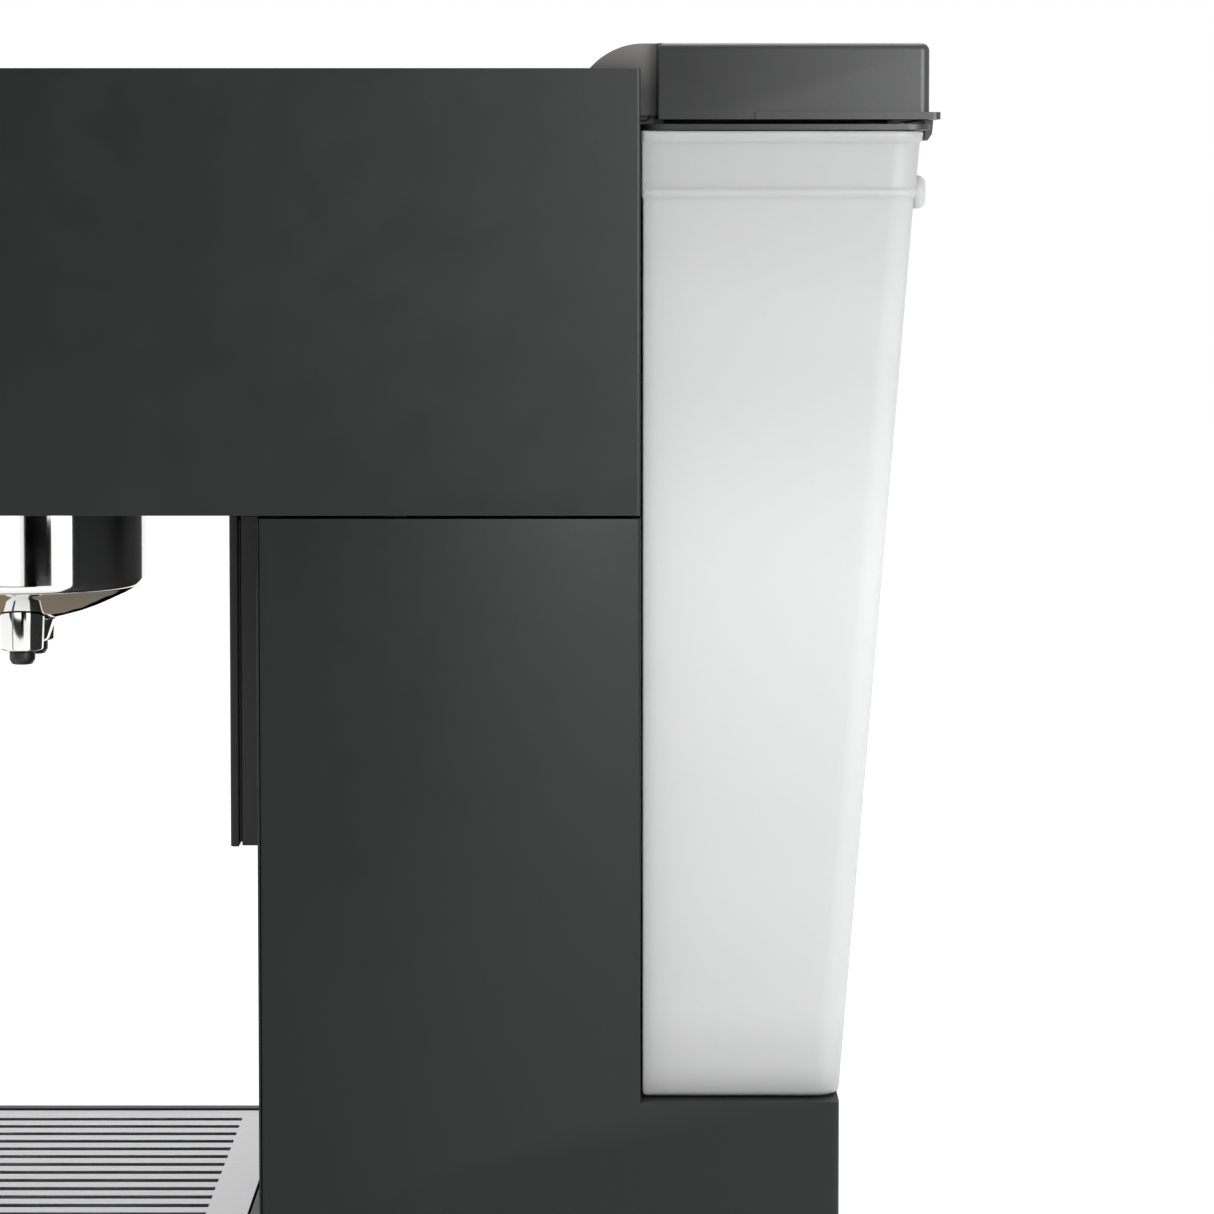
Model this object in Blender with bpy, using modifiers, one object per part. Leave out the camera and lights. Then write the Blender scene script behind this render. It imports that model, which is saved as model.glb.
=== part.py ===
"""Pump espresso machine with a rear water tank, built from separate working pieces.

Sizes are in millimetres and MM turns them into Blender's metres. The machine stands on z = 0, its front
faces -Y, the user's right hand is +X and +Z is up.
"""

import math

import bmesh
import bpy
from mathutils import Matrix, Vector

MM = 0.001
GAP = 0.3  # clearance between pieces that touch

# Driving dimensions of the housing
HALF_WIDTH = 70.0
WALL = 3.0
FOOT_HEIGHT = 8.7
BASE_BOTTOM, BASE_TOP = 9.0, 38.0
BASE_FRONT = -102.0
LEDGE_TOP = 70.0
LEDGE_REAR = 169.0
COLUMN_FRONT, COLUMN_REAR = 23.0, 119.0
COLUMN_TOP = 217.0
HEAD_BOTTOM, HEAD_TOP = 217.8, 329.0
HEAD_FRONT, HEAD_REAR = -94.5, 118.0
HEAD_FRONT_ROUNDING = 13.0

# Water tank and its lid
TANK_FRONT = 119.5
TANK_BOTTOM, TANK_TOP = 70.3, 313.5
TANK_REAR_LOW, TANK_REAR_HIGH = 169.8, 189.2
TANK_HALF_LOW, TANK_HALF_HIGH = 65.0, 66.0
TANK_WALL = 2.2
VALVE_Y = 144.0
LID_AXIS_Y, LID_AXIS_Z = 119.8, 317.4
LID_NOSE_RADIUS = 17.9
LID_REAR = 190.9
LID_BOTTOM = 316.4
LID_HALF = 65.5
NOSE_HALF = 62.0
FLANGE_REAR = 193.7
FLANGE_SPLIT_Y = 147.5
LUG_IN, LUG_OUT = 53.0, 57.0
EAR_IN, EAR_OUT = 57.5, 60.2
EYE_RADIUS, PIN_RADIUS = 3.0, 1.3
RECESS_HALF = 66.5
RECESS_RADIUS = LID_NOSE_RADIUS + 0.8

# Brewing group
GROUP_Y = -43.3
GROUP_RADIUS = 44.0
PORTAFILTER_RADIUS = 31.3
PORTAFILTER_TOP = 228.1
RIM_Z = 194.2
HANDLE_Z = 205.5
HANDLE_END = -193.8
SPOUT_X = 12.5
SPOUT_LOW, TIP_LOW = 177.7, 174.0
CHIMNEY_RADIUS = 5.9
EAR_SPAN = (30.0, 38.4)
UNLOCK_ANGLE = math.radians(-50.0)

# Controls
PANEL_LOW, PANEL_HIGH = 242.0, 314.0
PANEL_HALF = 58.0
BUTTON_X = (-38.0, -14.0, 10.0)
BUTTON_Z = 278.0
BUTTON_RADIUS = 8.5
KNOB_X = 40.0
BUTTON_TRAVEL = 1.6
BOARD_DEPTH = 12.0
SWITCH_DEPTH = 1.8

# Steam wand: where it hangs, how far it bends out, and its heights
WAND_X, WAND_Y = 52.0, -72.0
WAND_REACH = (5.0, -14.0)
WAND_RADIUS = 3.4
SLEEVE_TOP, SLEEVE_LOW = 142.0, 112.0
WAND_LOW = 95.6

# Drip tray float and pump
FLOAT = (46.0, -78.0)
PUMP_X, PUMP_Y = -34.0, 72.0

PARTS = "espresso_machine"
GUIDES = "cutters"

FINISHES = {
    "charcoal": ((0.045, 0.047, 0.048), 0.55, 0.0),
    "charcoal_light": ((0.07, 0.073, 0.075), 0.5, 0.0),
    "black": ((0.012, 0.012, 0.013), 0.45, 0.0),
    "rubber": ((0.02, 0.02, 0.02), 0.8, 0.0),
    "frosted": ((0.86, 0.88, 0.88), 0.4, 0.0),
    "chrome": ((0.8, 0.8, 0.8), 0.06, 1.0),
    "steel": ((0.55, 0.55, 0.56), 0.28, 1.0),
    "aluminium": ((0.5, 0.5, 0.52), 0.45, 1.0),
    "brass": ((0.6, 0.45, 0.2), 0.3, 1.0),
    "silicone": ((0.75, 0.76, 0.74), 0.5, 0.0),
    "white": ((0.7, 0.7, 0.68), 0.4, 0.0),
    "red": ((0.5, 0.03, 0.02), 0.4, 0.0),
    "board": ((0.02, 0.12, 0.06), 0.5, 0.0),
}


# ---------------------------------------------------------------- scene helpers


def clear_scene():
    """Start from an empty file with one collection for the parts and one for the cutters."""
    for old in list(bpy.data.objects):
        bpy.data.objects.remove(old, do_unlink=True)
    for name in (PARTS, GUIDES):
        collection = bpy.data.collections.new(name)
        bpy.context.scene.collection.children.link(collection)


def add_object(name, mesh, finish=None):
    """Link a mesh as a visible part, or as a hidden wire cutter when it has no finish."""
    obj = bpy.data.objects.new(name, mesh)
    if finish:
        bpy.data.collections[PARTS].objects.link(obj)
        paint(obj, finish)
    else:
        bpy.data.collections[GUIDES].objects.link(obj)
        hide_as_guide(obj)
    return obj


def hide_as_guide(obj):
    """A cutter or a joined piece is drawn as wire and never counted as a part."""
    obj.hide_render = True
    obj.display_type = "WIRE"


def paint(obj, finish):
    """Give one part its own Principled material."""
    colour, roughness, metallic = FINISHES[finish]
    material = bpy.data.materials.new(obj.name + "_finish")
    material.use_nodes = True
    shader = material.node_tree.nodes["Principled BSDF"]
    shader.inputs["Base Color"].default_value = (*colour, 1.0)
    shader.inputs["Roughness"].default_value = roughness
    shader.inputs["Metallic"].default_value = metallic
    obj.data.materials.clear()
    obj.data.materials.append(material)


def finish_mesh(name, bm, smooth_angle=None):
    """Turn a bmesh in millimetres into a mesh in metres."""
    bmesh.ops.scale(bm, vec=(MM, MM, MM), verts=bm.verts)
    mesh = bpy.data.meshes.new(name)
    bm.to_mesh(mesh)
    bm.free()
    if smooth_angle:
        mesh.shade_smooth()
        mesh.set_sharp_from_angle(angle=smooth_angle)
    return mesh


def round_edges(bm, direction, radius, segments=3):
    """Bevel every edge that runs along one direction."""
    along = Vector(direction)
    chosen = [
        edge for edge in bm.edges
        if abs((edge.verts[1].co - edge.verts[0].co).normalized().dot(along)) > 0.98
    ]
    bmesh.ops.bevel(
        bm, geom=chosen, offset=radius, offset_type="OFFSET", segments=segments, profile=0.5, affect="EDGES"
    )


def box(name, low, high, finish=None, rounding=None):
    """A block between two corners; rounding is (direction, radius) for its long edges."""
    bm = bmesh.new()
    size = Vector(high) - Vector(low)
    centre = (Vector(high) + Vector(low)) / 2
    bmesh.ops.create_cube(bm, size=1.0)
    bmesh.ops.scale(bm, vec=size, verts=bm.verts)
    bmesh.ops.translate(bm, vec=centre, verts=bm.verts)
    if rounding:
        round_edges(bm, *rounding)
    return add_object(name, finish_mesh(name, bm), finish)


def axis_turn(axis):
    """Rotation that takes local +Z onto a world axis."""
    return Vector((0, 0, 1)).rotation_difference(Vector(axis)).to_matrix().to_4x4()


def rod(name, start, end, radius, finish=None, segments=32):
    """A round bar between two points."""
    bm = bmesh.new()
    reach = Vector(end) - Vector(start)
    place = Matrix.Translation((Vector(start) + Vector(end)) / 2) @ axis_turn(reach.normalized())
    bmesh.ops.create_cone(
        bm, cap_ends=True, segments=segments, radius1=radius, radius2=radius, depth=reach.length,
                          matrix=place
    )
    return add_object(name, finish_mesh(name, bm, math.radians(40)), finish)


def turned(name, profile, finish=None, centre=(0, 0, 0), axis=(0, 0, 1), steps=40):
    """Spin a (radius, height) profile that runs down its outer side about an axis through centre."""
    mesh = bpy.data.meshes.new(name)
    points = [(radius * MM, 0.0, height * MM) for radius, height in profile]
    on_axis = profile[0][0] == 0 and profile[-1][0] == 0
    edges = [(i, i + 1) for i in range(len(points) - 1)]
    if not on_axis:
        edges.append((len(points) - 1, 0))
    mesh.from_pydata(points, edges, [])
    obj = add_object(name, mesh, finish)
    obj.matrix_world = Matrix.Translation(Vector(centre) * MM) @ axis_turn(axis)
    screw = obj.modifiers.new("turn", "SCREW")
    screw.steps = steps
    screw.render_steps = steps
    screw.use_merge_vertices = True
    screw.merge_threshold = 0.00001
    screw.use_smooth_shade = True
    return obj


def side_outline(name, outline, half_width, finish=None):
    """Extrude a closed (y, z) outline to both sides of the middle plane."""
    curve = bpy.data.curves.new(name, "CURVE")
    curve.dimensions = "2D"
    curve.fill_mode = "BOTH"
    curve.extrude = half_width * MM
    spline = curve.splines.new("POLY")
    spline.points.add(len(outline) - 1)
    for point, (y, z) in zip(spline.points, outline):
        point.co = (y * MM, z * MM, 0.0, 1.0)
    spline.use_cyclic_u = True
    stand = Matrix(((0, 0, 1, 0), (1, 0, 0, 0), (0, 1, 0, 0), (0, 0, 0, 1)))
    return mesh_of_curve(name, curve, stand, finish)


def mesh_of_curve(name, curve, place, finish):
    """Make a curve a welded mesh object so that it can be cut, joined or rounded."""
    holder = bpy.data.objects.new(name + "_curve", curve)
    bpy.context.scene.collection.objects.link(holder)
    graph = bpy.context.evaluated_depsgraph_get()
    mesh = bpy.data.meshes.new_from_object(holder.evaluated_get(graph))
    bpy.data.objects.remove(holder, do_unlink=True)
    bm = bmesh.new()
    bm.from_mesh(mesh)
    bmesh.ops.remove_doubles(bm, verts=bm.verts, dist=0.000001)
    bmesh.ops.transform(bm, matrix=place, verts=bm.verts)
    bmesh.ops.recalc_face_normals(bm, faces=bm.faces)
    bm.to_mesh(mesh)
    bm.free()
    mesh.name = name
    return add_object(name, mesh, finish)


def arc(centre_y, centre_z, radius, start, end, count=8):
    """Points of a circular arc in the (y, z) plane, angles in degrees from +Y towards +Z."""
    points = []
    for i in range(count + 1):
        angle = math.radians(start + (end - start) * i / count)
        points.append((centre_y + radius * math.cos(angle), centre_z + radius * math.sin(angle)))
    return points


def smooth_route(points, spacing):
    """Evenly spaced points along a Catmull-Rom curve through hand-set points."""
    knots = [Vector(p) for p in points]
    knots = [2 * knots[0] - knots[1]] + knots + [2 * knots[-1] - knots[-2]]
    dense = []
    for i in range(1, len(knots) - 2):
        a, b, c, d = knots[i - 1: i + 3]
        for step in range(24):
            t = step / 24
            dense.append(
                0.5 * ((2 * b) + (c - a) * t + (2 * a - 5 * b + 4 * c - d) * t * t
                       + (3 * b - a - 3 * c + d) * t ** 3)
            )
    dense.append(knots[-2])
    length = sum((q - p).length for p, q in zip(dense, dense[1:]))
    count = max(2, round(length / spacing))
    route, walked, target = [dense[0]], 0.0, length / count
    for p, q in zip(dense, dense[1:]):
        stretch = (q - p).length
        while walked + stretch >= target and len(route) < count:
            route.append(p.lerp(q, (target - walked) / stretch))
            target += length / count
        walked += stretch
    route.append(dense[-1])
    return route


def tube(name, points, radius, finish, spacing=None):
    """A bent tube or hose along a smooth route."""
    curve = bpy.data.curves.new(name, "CURVE")
    curve.dimensions = "3D"
    curve.bevel_depth = radius * MM
    curve.bevel_resolution = 2
    curve.use_fill_caps = True
    route = smooth_route(points, spacing or radius * 5)
    spline = curve.splines.new("POLY")
    spline.points.add(len(route) - 1)
    for point, spot in zip(spline.points, route):
        point.co = (*(spot * MM), 1.0)
    obj = bpy.data.objects.new(name, curve)
    bpy.data.collections[PARTS].objects.link(obj)
    paint(obj, finish)
    return obj


def combine(obj, other, operation):
    """Keep a Boolean on obj and hide the other object as its guide."""
    if other.name in bpy.data.collections[PARTS].objects:
        bpy.data.collections[PARTS].objects.unlink(other)
        bpy.data.collections[GUIDES].objects.link(other)
        hide_as_guide(other)
    modifier = obj.modifiers.new(operation.lower() + "_" + other.name, "BOOLEAN")
    modifier.operation = operation
    modifier.solver = "EXACT"
    modifier.object = other
    return obj


def cut(obj, *cutters):
    for cutter in cutters:
        combine(obj, cutter, "DIFFERENCE")
    return obj


def join(obj, *others):
    for other in others:
        combine(obj, other, "UNION")
    return obj


def hang(name, point, *pieces):
    """Parent moving pieces to an empty on their joint's axis, leaving them where they are."""
    pivot = bpy.data.objects.new(name, None)
    bpy.data.collections[PARTS].objects.link(pivot)
    pivot.location = Vector(point) * MM
    pivot.empty_display_size = 0.02
    for piece in pieces:
        obj = bpy.data.objects[piece]
        obj.parent = pivot
        obj.matrix_parent_inverse = Matrix.Translation(-pivot.location)
    return pivot


# ---------------------------------------------------------------- housing


def make_base():
    """Low tub with an open bay for the drip tray in front and a well for the works behind."""
    slant = HEAD_FRONT - 0.5
    outline = [(BASE_FRONT, BASE_BOTTOM), (LEDGE_REAR, BASE_BOTTOM), (LEDGE_REAR, BASE_TOP),
               (slant, BASE_TOP)]
    base = side_outline("base_housing", outline, HALF_WIDTH, "charcoal")
    bay = box("tray_bay", (-66, BASE_FRONT - 8, BASE_BOTTOM + WALL), (66, 19.5, BASE_TOP + 2))
    well = box("works_well", (-67, 23, BASE_BOTTOM + WALL), (67, LEDGE_REAR - WALL, BASE_TOP + 2))
    cord_hole = rod("cord_hole", (-44, LEDGE_REAR - 6, 24), (-44, LEDGE_REAR + 2, 24), 6.6, segments=24)
    cut(base, bay, well, cord_hole)
    for row in range(5):
        y = 60 + row * 14
        slot = box("floor_vent_%d" % row, (-30, y, BASE_BOTTOM - 1), (30, y + 3, BASE_BOTTOM + WALL + 1))
        cut(base, slot)


def make_feet():
    """Four rubber feet, each with a hollow underside that grips the worktop."""
    for side, x in (("left", -54), ("right", 54)):
        for end, y in (("front", -82), ("rear", 150)):
            profile = [(0, FOOT_HEIGHT), (8.5, FOOT_HEIGHT), (9.5, 1.0), (9.0, 0), (6.0, 0), (5.0, 1.2),
                       (0, 1.2)]
            turned("foot_%s_%s" % (end, side), profile, "rubber", (x, y, 0), steps=20)


def make_body_shell():
    """Column and rear ledge moulded as one open-bottomed shell."""
    z0 = BASE_TOP + GAP
    inner = [(COLUMN_FRONT + WALL, z0 - 2), (LEDGE_REAR - WALL, z0 - 2),
             (LEDGE_REAR - WALL, LEDGE_TOP - WALL),
             (COLUMN_REAR - WALL, LEDGE_TOP - WALL), (COLUMN_REAR - WALL, COLUMN_TOP + 2),
             (COLUMN_FRONT + WALL, COLUMN_TOP + 2)]
    shell = box("body_shell", (-HALF_WIDTH, COLUMN_FRONT, z0), (HALF_WIDTH, COLUMN_REAR, COLUMN_TOP),
                "charcoal")
    soften(shell, 1.2)
    ledge = box("rear_ledge", (-HALF_WIDTH, COLUMN_REAR - 9, z0), (HALF_WIDTH, LEDGE_REAR, LEDGE_TOP))
    soften(ledge, 1.8)
    join(shell, ledge)
    cavity = side_outline("body_cavity", inner, HALF_WIDTH - WALL)
    socket_hole = rod("socket_hole", (0, VALVE_Y, LEDGE_TOP - 6), (0, VALVE_Y, LEDGE_TOP + 2), 13.3)
    cut(shell, cavity, socket_hole)


def soften(obj, width, segments=2):
    """Round a mesh's outer edges with a live Bevel, placed before its Booleans."""
    bevel = obj.modifiers.new("soft_edges", "BEVEL")
    bevel.width = width * MM
    bevel.segments = segments
    bevel.limit_method = "ANGLE"
    bevel.angle_limit = math.radians(50)
    bevel.harden_normals = False


def recess_cutter(name, grow, half_width):
    """Concave channel that the lid's round nose turns in: straight above the axis, round below it."""
    radius = RECESS_RADIUS + grow
    outline = [(LID_AXIS_Y + 4, HEAD_TOP + 3 + grow), (LID_AXIS_Y - radius, HEAD_TOP + 3 + grow)]
    outline += arc(LID_AXIS_Y, LID_AXIS_Z, radius, 180, 270, 10)
    outline += [(LID_AXIS_Y + 4, LID_AXIS_Z - radius)]
    return side_outline(name, outline, half_width)


def make_head():
    """Head shell with its front window, top pocket and rear recess, and the floor plate under it."""
    outline = [(HEAD_REAR, HEAD_BOTTOM), (HEAD_REAR, HEAD_TOP)]
    outline += arc(HEAD_FRONT + HEAD_FRONT_ROUNDING, HEAD_TOP - HEAD_FRONT_ROUNDING, HEAD_FRONT_ROUNDING,
                   90, 180, 6)
    outline += [(HEAD_FRONT, HEAD_BOTTOM)]
    shell = side_outline("head_shell", outline, HALF_WIDTH, "charcoal")
    soften(shell, 1.5)
    inner = [(HEAD_REAR - WALL, HEAD_BOTTOM - 2), (HEAD_REAR - WALL, HEAD_TOP - WALL)]
    inner += arc(HEAD_FRONT + HEAD_FRONT_ROUNDING, HEAD_TOP - HEAD_FRONT_ROUNDING, HEAD_FRONT_ROUNDING - WALL,
                 90, 180, 6)
    inner += [(HEAD_FRONT + WALL, HEAD_BOTTOM - 2)]
    cavity = side_outline("head_cavity", inner, RECESS_HALF)
    cut(cavity, recess_cutter("recess_wall", WALL, RECESS_HALF + 4))
    window = box("panel_window", (-PANEL_HALF, HEAD_FRONT - 3, PANEL_LOW),
                 (PANEL_HALF, HEAD_FRONT + 8, PANEL_HIGH))
    pocket = box("plate_pocket", (-56, -76, HEAD_TOP - 1.4), (56, 90, HEAD_TOP + 2), None, ((0, 0, 1), 8.0))
    cut(shell, cavity, recess_cutter("nose_recess", 0.0, RECESS_HALF), window, pocket)

    box("cup_warming_plate", (-55.6, -75.6, HEAD_TOP - 1.1), (55.6, 89.6, HEAD_TOP - 0.1), "steel",
        ((0, 0, 1), 7.6))

    floor = box(
        "head_floor", (-RECESS_HALF + GAP, HEAD_FRONT + WALL + GAP, HEAD_BOTTOM),
                (RECESS_HALF - GAP, 24, HEAD_BOTTOM + 2.6),
        "charcoal",
    )
    group_hole = rod("group_hole", (0, GROUP_Y, 210), (0, GROUP_Y, 230), GROUP_RADIUS + GAP + 0.1,
                     segments=48)
    wand_hole = rod("wand_hole", (WAND_X, WAND_Y, 210), (WAND_X, WAND_Y, 230), 8.4, segments=24)
    cut(floor, group_hole, wand_hole)


def make_splash_panel():
    """Narrow panel that stands proud of the column's front under the head."""
    low, high = 131.5, COLUMN_TOP - 0.8
    panel = box("splash_panel", (-50, COLUMN_FRONT - 8.4, low), (50, COLUMN_FRONT - GAP, high), "black",
                ((0, 0, 1), 2.0))
    groove = box("splash_groove", (-55, COLUMN_FRONT - 6.4, low - 2), (-48.6, COLUMN_FRONT - 5.6, high + 2))
    groove_right = box("splash_groove_right", (48.6, COLUMN_FRONT - 6.4, low - 2),
                       (55, COLUMN_FRONT - 5.6, high + 2))
    cut(panel, groove, groove_right)


def make_cord_gland():
    """Flanged inlet where the mains lead enters the rear of the base."""
    profile = [(3.6, 4.3), (7.5, 4.3), (9.0, 3.3), (9.0, GAP), (6.2, GAP), (6.2, -3.2), (8.2, -3.6),
               (8.2, -5.2), (3.6, -5.2)]
    turned("cord_gland", profile, "black", (-44, LEDGE_REAR, 24), (0, 1, 0), steps=24)


# ---------------------------------------------------------------- drip tray


def make_drip_tray():
    """Pull-out tray with a slanted front, the slotted grid on it and its float."""
    low, high = BASE_BOTTOM + WALL + GAP, 35.4
    outline = [(BASE_FRONT + 0.2, low), (19.0, low), (19.0, high), (HEAD_FRONT, high)]
    tray = side_outline("drip_tray", outline, 65.5, "charcoal_light")
    bowl = box("tray_bowl", (-63, HEAD_FRONT + 3.5, low + 2), (63, 16.5, high + 3), None, ((0, 0, 1), 6.0))
    cut(tray, bowl)
    guide = turned("float_guide_wall", [(3.6, 24), (6.2, 24), (6.2, low + 1), (3.6, low + 1)], None,
                   (*FLOAT, 0), steps=20)
    join(tray, guide)

    grid = box("drip_grid", (-65, HEAD_FRONT + 0.6, high + GAP), (65, 18.8, BASE_TOP - 0.4), "steel",
               ((0, 0, 1), 4.0))
    for i in range(13):
        x = -54 + i * 9
        cut(grid, box("grid_slot_%02d" % i, (x - 1.8, -66, high - 2), (x + 1.8, 8, high + 6)))
    cut(grid, rod("float_window", (*FLOAT, high - 2), (*FLOAT, high + 6), 7.6, segments=24))

    bob = [(0, 31.0), (5.0, 31.0), (5.0, 29.0), (3.0, 29.0), (3.0, 15.4), (0, 15.4)]
    turned("tray_float", bob, "red", (*FLOAT, 0), steps=20)


# ---------------------------------------------------------------- water tank


def tapered_box(name, low_z, high_z, half_low, half_high, front, rear_low, rear_high, rounding,
                finish=None):
    """A straight-fronted box whose sides and rear lean outwards towards the top."""
    bm = bmesh.new()
    bmesh.ops.create_cube(bm, size=2.0)
    for vert in bm.verts:
        top = vert.co.z > 0
        half = half_high if top else half_low
        rear = rear_high if top else rear_low
        vert.co = Vector((math.copysign(half, vert.co.x), rear if vert.co.y > 0 else front,
                          high_z if top else low_z))
    round_edges(bm, (0, 0, 1), rounding, 4)
    return add_object(name, finish_mesh(name, bm, math.radians(40)), finish)


def make_tank():
    """Frosted tank with a rolled rim, open at the top and bored for its valve."""
    tank = tapered_box("water_tank", TANK_BOTTOM, TANK_TOP, TANK_HALF_LOW, TANK_HALF_HIGH,
                       TANK_FRONT, TANK_REAR_LOW, TANK_REAR_HIGH, 7.0, "frosted")
    t = TANK_WALL
    hollow = tapered_box("tank_hollow", TANK_BOTTOM + t, TANK_TOP + 4, TANK_HALF_LOW - t,
                         TANK_HALF_HIGH - t,
                         TANK_FRONT + t, TANK_REAR_LOW - t, TANK_REAR_HIGH - t + 0.3, 5.0)
    rim = tapered_box("tank_rim", TANK_TOP - 3.0, TANK_TOP, TANK_HALF_HIGH + 0.6, TANK_HALF_HIGH + 0.6,
                      TANK_FRONT - 0.4, TANK_REAR_HIGH + 2.0, TANK_REAR_HIGH + 2.0, 7.5)
    join(tank, rim)
    valve_hole = rod("valve_hole", (0, VALVE_Y, TANK_BOTTOM - 2), (0, VALVE_Y, TANK_BOTTOM + 6), 8.9)
    cut(tank, hollow, valve_hole)


def make_tank_valve():
    """Spring valve in the tank floor; the socket's post holds it open while the tank is seated."""
    at = (0, VALVE_Y, 0)
    floor = TANK_BOTTOM + TANK_WALL
    body = [(4.6, floor + 3.4), (12.0, floor + 3.4), (12.0, floor + GAP), (8.5, floor + GAP), (8.5, 61.0),
            (4.6, 61.0)]
    turned("tank_valve_body", body, "white", at, steps=24)
    disc = floor + 7.4
    plunger = [(0, disc + 3.0), (7.2, disc + 3.0), (7.2, disc), (2.4, disc), (2.4, 66.4), (0, 66.4)]
    turned("valve_plunger", plunger, "brass", at, steps=24)
    cage_low, cage_high = floor + 3.8, floor + 21.0
    cage = [(0, cage_high), (11.4, cage_high), (11.4, cage_low), (9.2, cage_low), (9.2, cage_high - 1.8),
            (0, cage_high - 1.8)]
    shell = turned("valve_cage", cage, "white", at, steps=24)
    for i, turn in enumerate((0, 90)):
        reach = (14, 3.4) if turn == 0 else (3.4, 14)
        cut(shell, box("cage_window_%d" % i, (-reach[0], VALVE_Y - reach[1], cage_low + 2.5),
                       (reach[0], VALVE_Y + reach[1], cage_high - 3.6)))
    low, high = disc + 3.9, cage_high - 2.8
    coils, per_turn, radius = 4, 10, 5.4
    points = []
    for i in range(coils * per_turn + 1):
        angle = 2 * math.pi * i / per_turn
        rise = low + (high - low) * i / (coils * per_turn)
        points.append((radius * math.cos(angle), VALVE_Y + radius * math.sin(angle), rise))
    coil = tube("valve_spring", points, 0.55, "steel", spacing=3.4)
    coil.data.bevel_resolution = 1
    seal = [(8.8, 64.6), (10.4, 64.6), (11.0, 63.6), (10.4, 62.6), (8.8, 62.6)]
    turned("spigot_seal", seal, "rubber", at, steps=20)


def make_tank_socket():
    """Cup under the ledge that takes the tank's spigot, with the post that lifts the plunger."""
    socket = [(11.6, LEDGE_TOP - 0.2), (12.9, LEDGE_TOP - 0.2), (12.9, 57.0), (5.5, 54.0), (5.5, 46.5),
              (2.2, 46.5),
              (2.2, 58.8), (11.6, 58.8)]
    cup = turned("tank_socket", socket, "black", (0, VALVE_Y, 0), steps=24)
    post = rod("socket_post", (0, VALVE_Y, 55.2), (0, VALVE_Y, 66.0), 1.4, segments=12)
    web = box("post_web", (-4.0, VALVE_Y - 1.0, 55.0), (4.0, VALVE_Y + 1.0, 57.6))
    join(cup, web, post)


def make_lid():
    """Collar on the tank's rim, the lid with its round nose and rear finger lip, and the hinge pin."""
    base = TANK_TOP + GAP
    collar = tapered_box("tank_collar", base, base + 1.4, TANK_HALF_HIGH + 0.6, TANK_HALF_HIGH + 0.6,
                         TANK_FRONT - 0.4, FLANGE_REAR - 2.4, FLANGE_REAR - 2.4, 6.0, "charcoal_light")
    mouth = tapered_box("fill_mouth", base - 3, base + 6, 56, 56, TANK_FRONT + 8, LID_REAR - 8,
                        LID_REAR - 8, 5.0)
    cut(collar, mouth)
    y, z = LID_AXIS_Y, LID_AXIS_Z
    for hand, side in (("left", -1), ("right", 1)):
        low, high = sorted((side * LUG_IN, side * LUG_OUT))
        lug = rod("hinge_lug_" + hand, (low, y + 0.2, z), (high, y + 0.2, z), EYE_RADIUS, segments=20)
        foot = box("lug_foot_" + hand, (low, y - 0.2, base + 0.2), (high, y + 5, z))
        join(collar, lug, foot)
        low, high = sorted((side * (LUG_OUT + 0.1), side * (EAR_OUT + GAP)))
        cut(collar, box("ear_notch_" + hand, (low, y - 2, base - 1), (high, y + 3.6, base + 3)))
    cut(collar, rod("lug_bore", (-60, y, z), (60, y, z), PIN_RADIUS + GAP, segments=20))

    top = LID_AXIS_Z + LID_NOSE_RADIUS
    front = LID_AXIS_Y + 3.4
    lid = box("tank_lid", (-LID_HALF, front, LID_BOTTOM), (LID_HALF, LID_REAR, top), "charcoal_light",
              ((0, 0, 1), 2.4))
    nose = side_outline("lid_nose", nose_outline(LID_NOSE_RADIUS, front + 1.0), NOSE_HALF)
    lip = box("lid_lip", (-LID_HALF - 0.4, FLANGE_SPLIT_Y, LID_BOTTOM),
              (LID_HALF + 0.4, FLANGE_REAR, LID_BOTTOM + 1.8))
    finger = side_outline("finger_lip", [(FLANGE_REAR - 2.0, 311.2), (FLANGE_REAR - 0.2, 313.0),
                                         (FLANGE_REAR, LID_BOTTOM + 1),
                                         (FLANGE_REAR - 2.1, LID_BOTTOM + 1)], 40)
    join(lid, nose, lip, finger)
    wall = 2.2
    inside = box("lid_inside", (-LID_HALF + wall, front + wall, LID_BOTTOM - 2),
                 (LID_HALF - wall, LID_REAR - wall, top - wall))
    nose_room = nose_outline(LID_NOSE_RADIUS - wall, front + wall + 1.0, 6.0)
    nose_inside = side_outline("nose_inside", nose_room, NOSE_HALF - wall)
    cut(lid, inside, nose_inside)
    hanger = arc(y, z, EYE_RADIUS, 180, 360, 8) + [(y + EYE_RADIUS, top - 1.0), (y - EYE_RADIUS, top - 1.0)]
    for hand, side in (("left", -1), ("right", 1)):
        ear = side_outline("lid_ear_" + hand, hanger, (EAR_OUT - EAR_IN) / 2)
        ear.data.transform(Matrix.Translation((side * (EAR_IN + EAR_OUT) / 2 * MM, 0, 0)))
        join(lid, ear)
    cut(lid, rod("ear_eye", (-EAR_OUT - 1, y, z), (EAR_OUT + 1, y, z), PIN_RADIUS + GAP, segments=20))
    rod("lid_hinge_pin", (-EAR_OUT, y, z), (EAR_OUT, y, z), PIN_RADIUS, "steel", segments=16)


def nose_outline(radius, rear, drop=0.0):
    """Quarter round about the hinge axis, carried back to rear and down below the axis by drop."""
    outline = arc(LID_AXIS_Y, LID_AXIS_Z, radius, 180, 90, 10)
    outline += [(rear, LID_AXIS_Z + radius), (rear, LID_AXIS_Z - drop)]
    if drop:
        outline.append((LID_AXIS_Y - radius, LID_AXIS_Z - drop))
    return outline


# ---------------------------------------------------------------- brewing group


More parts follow.
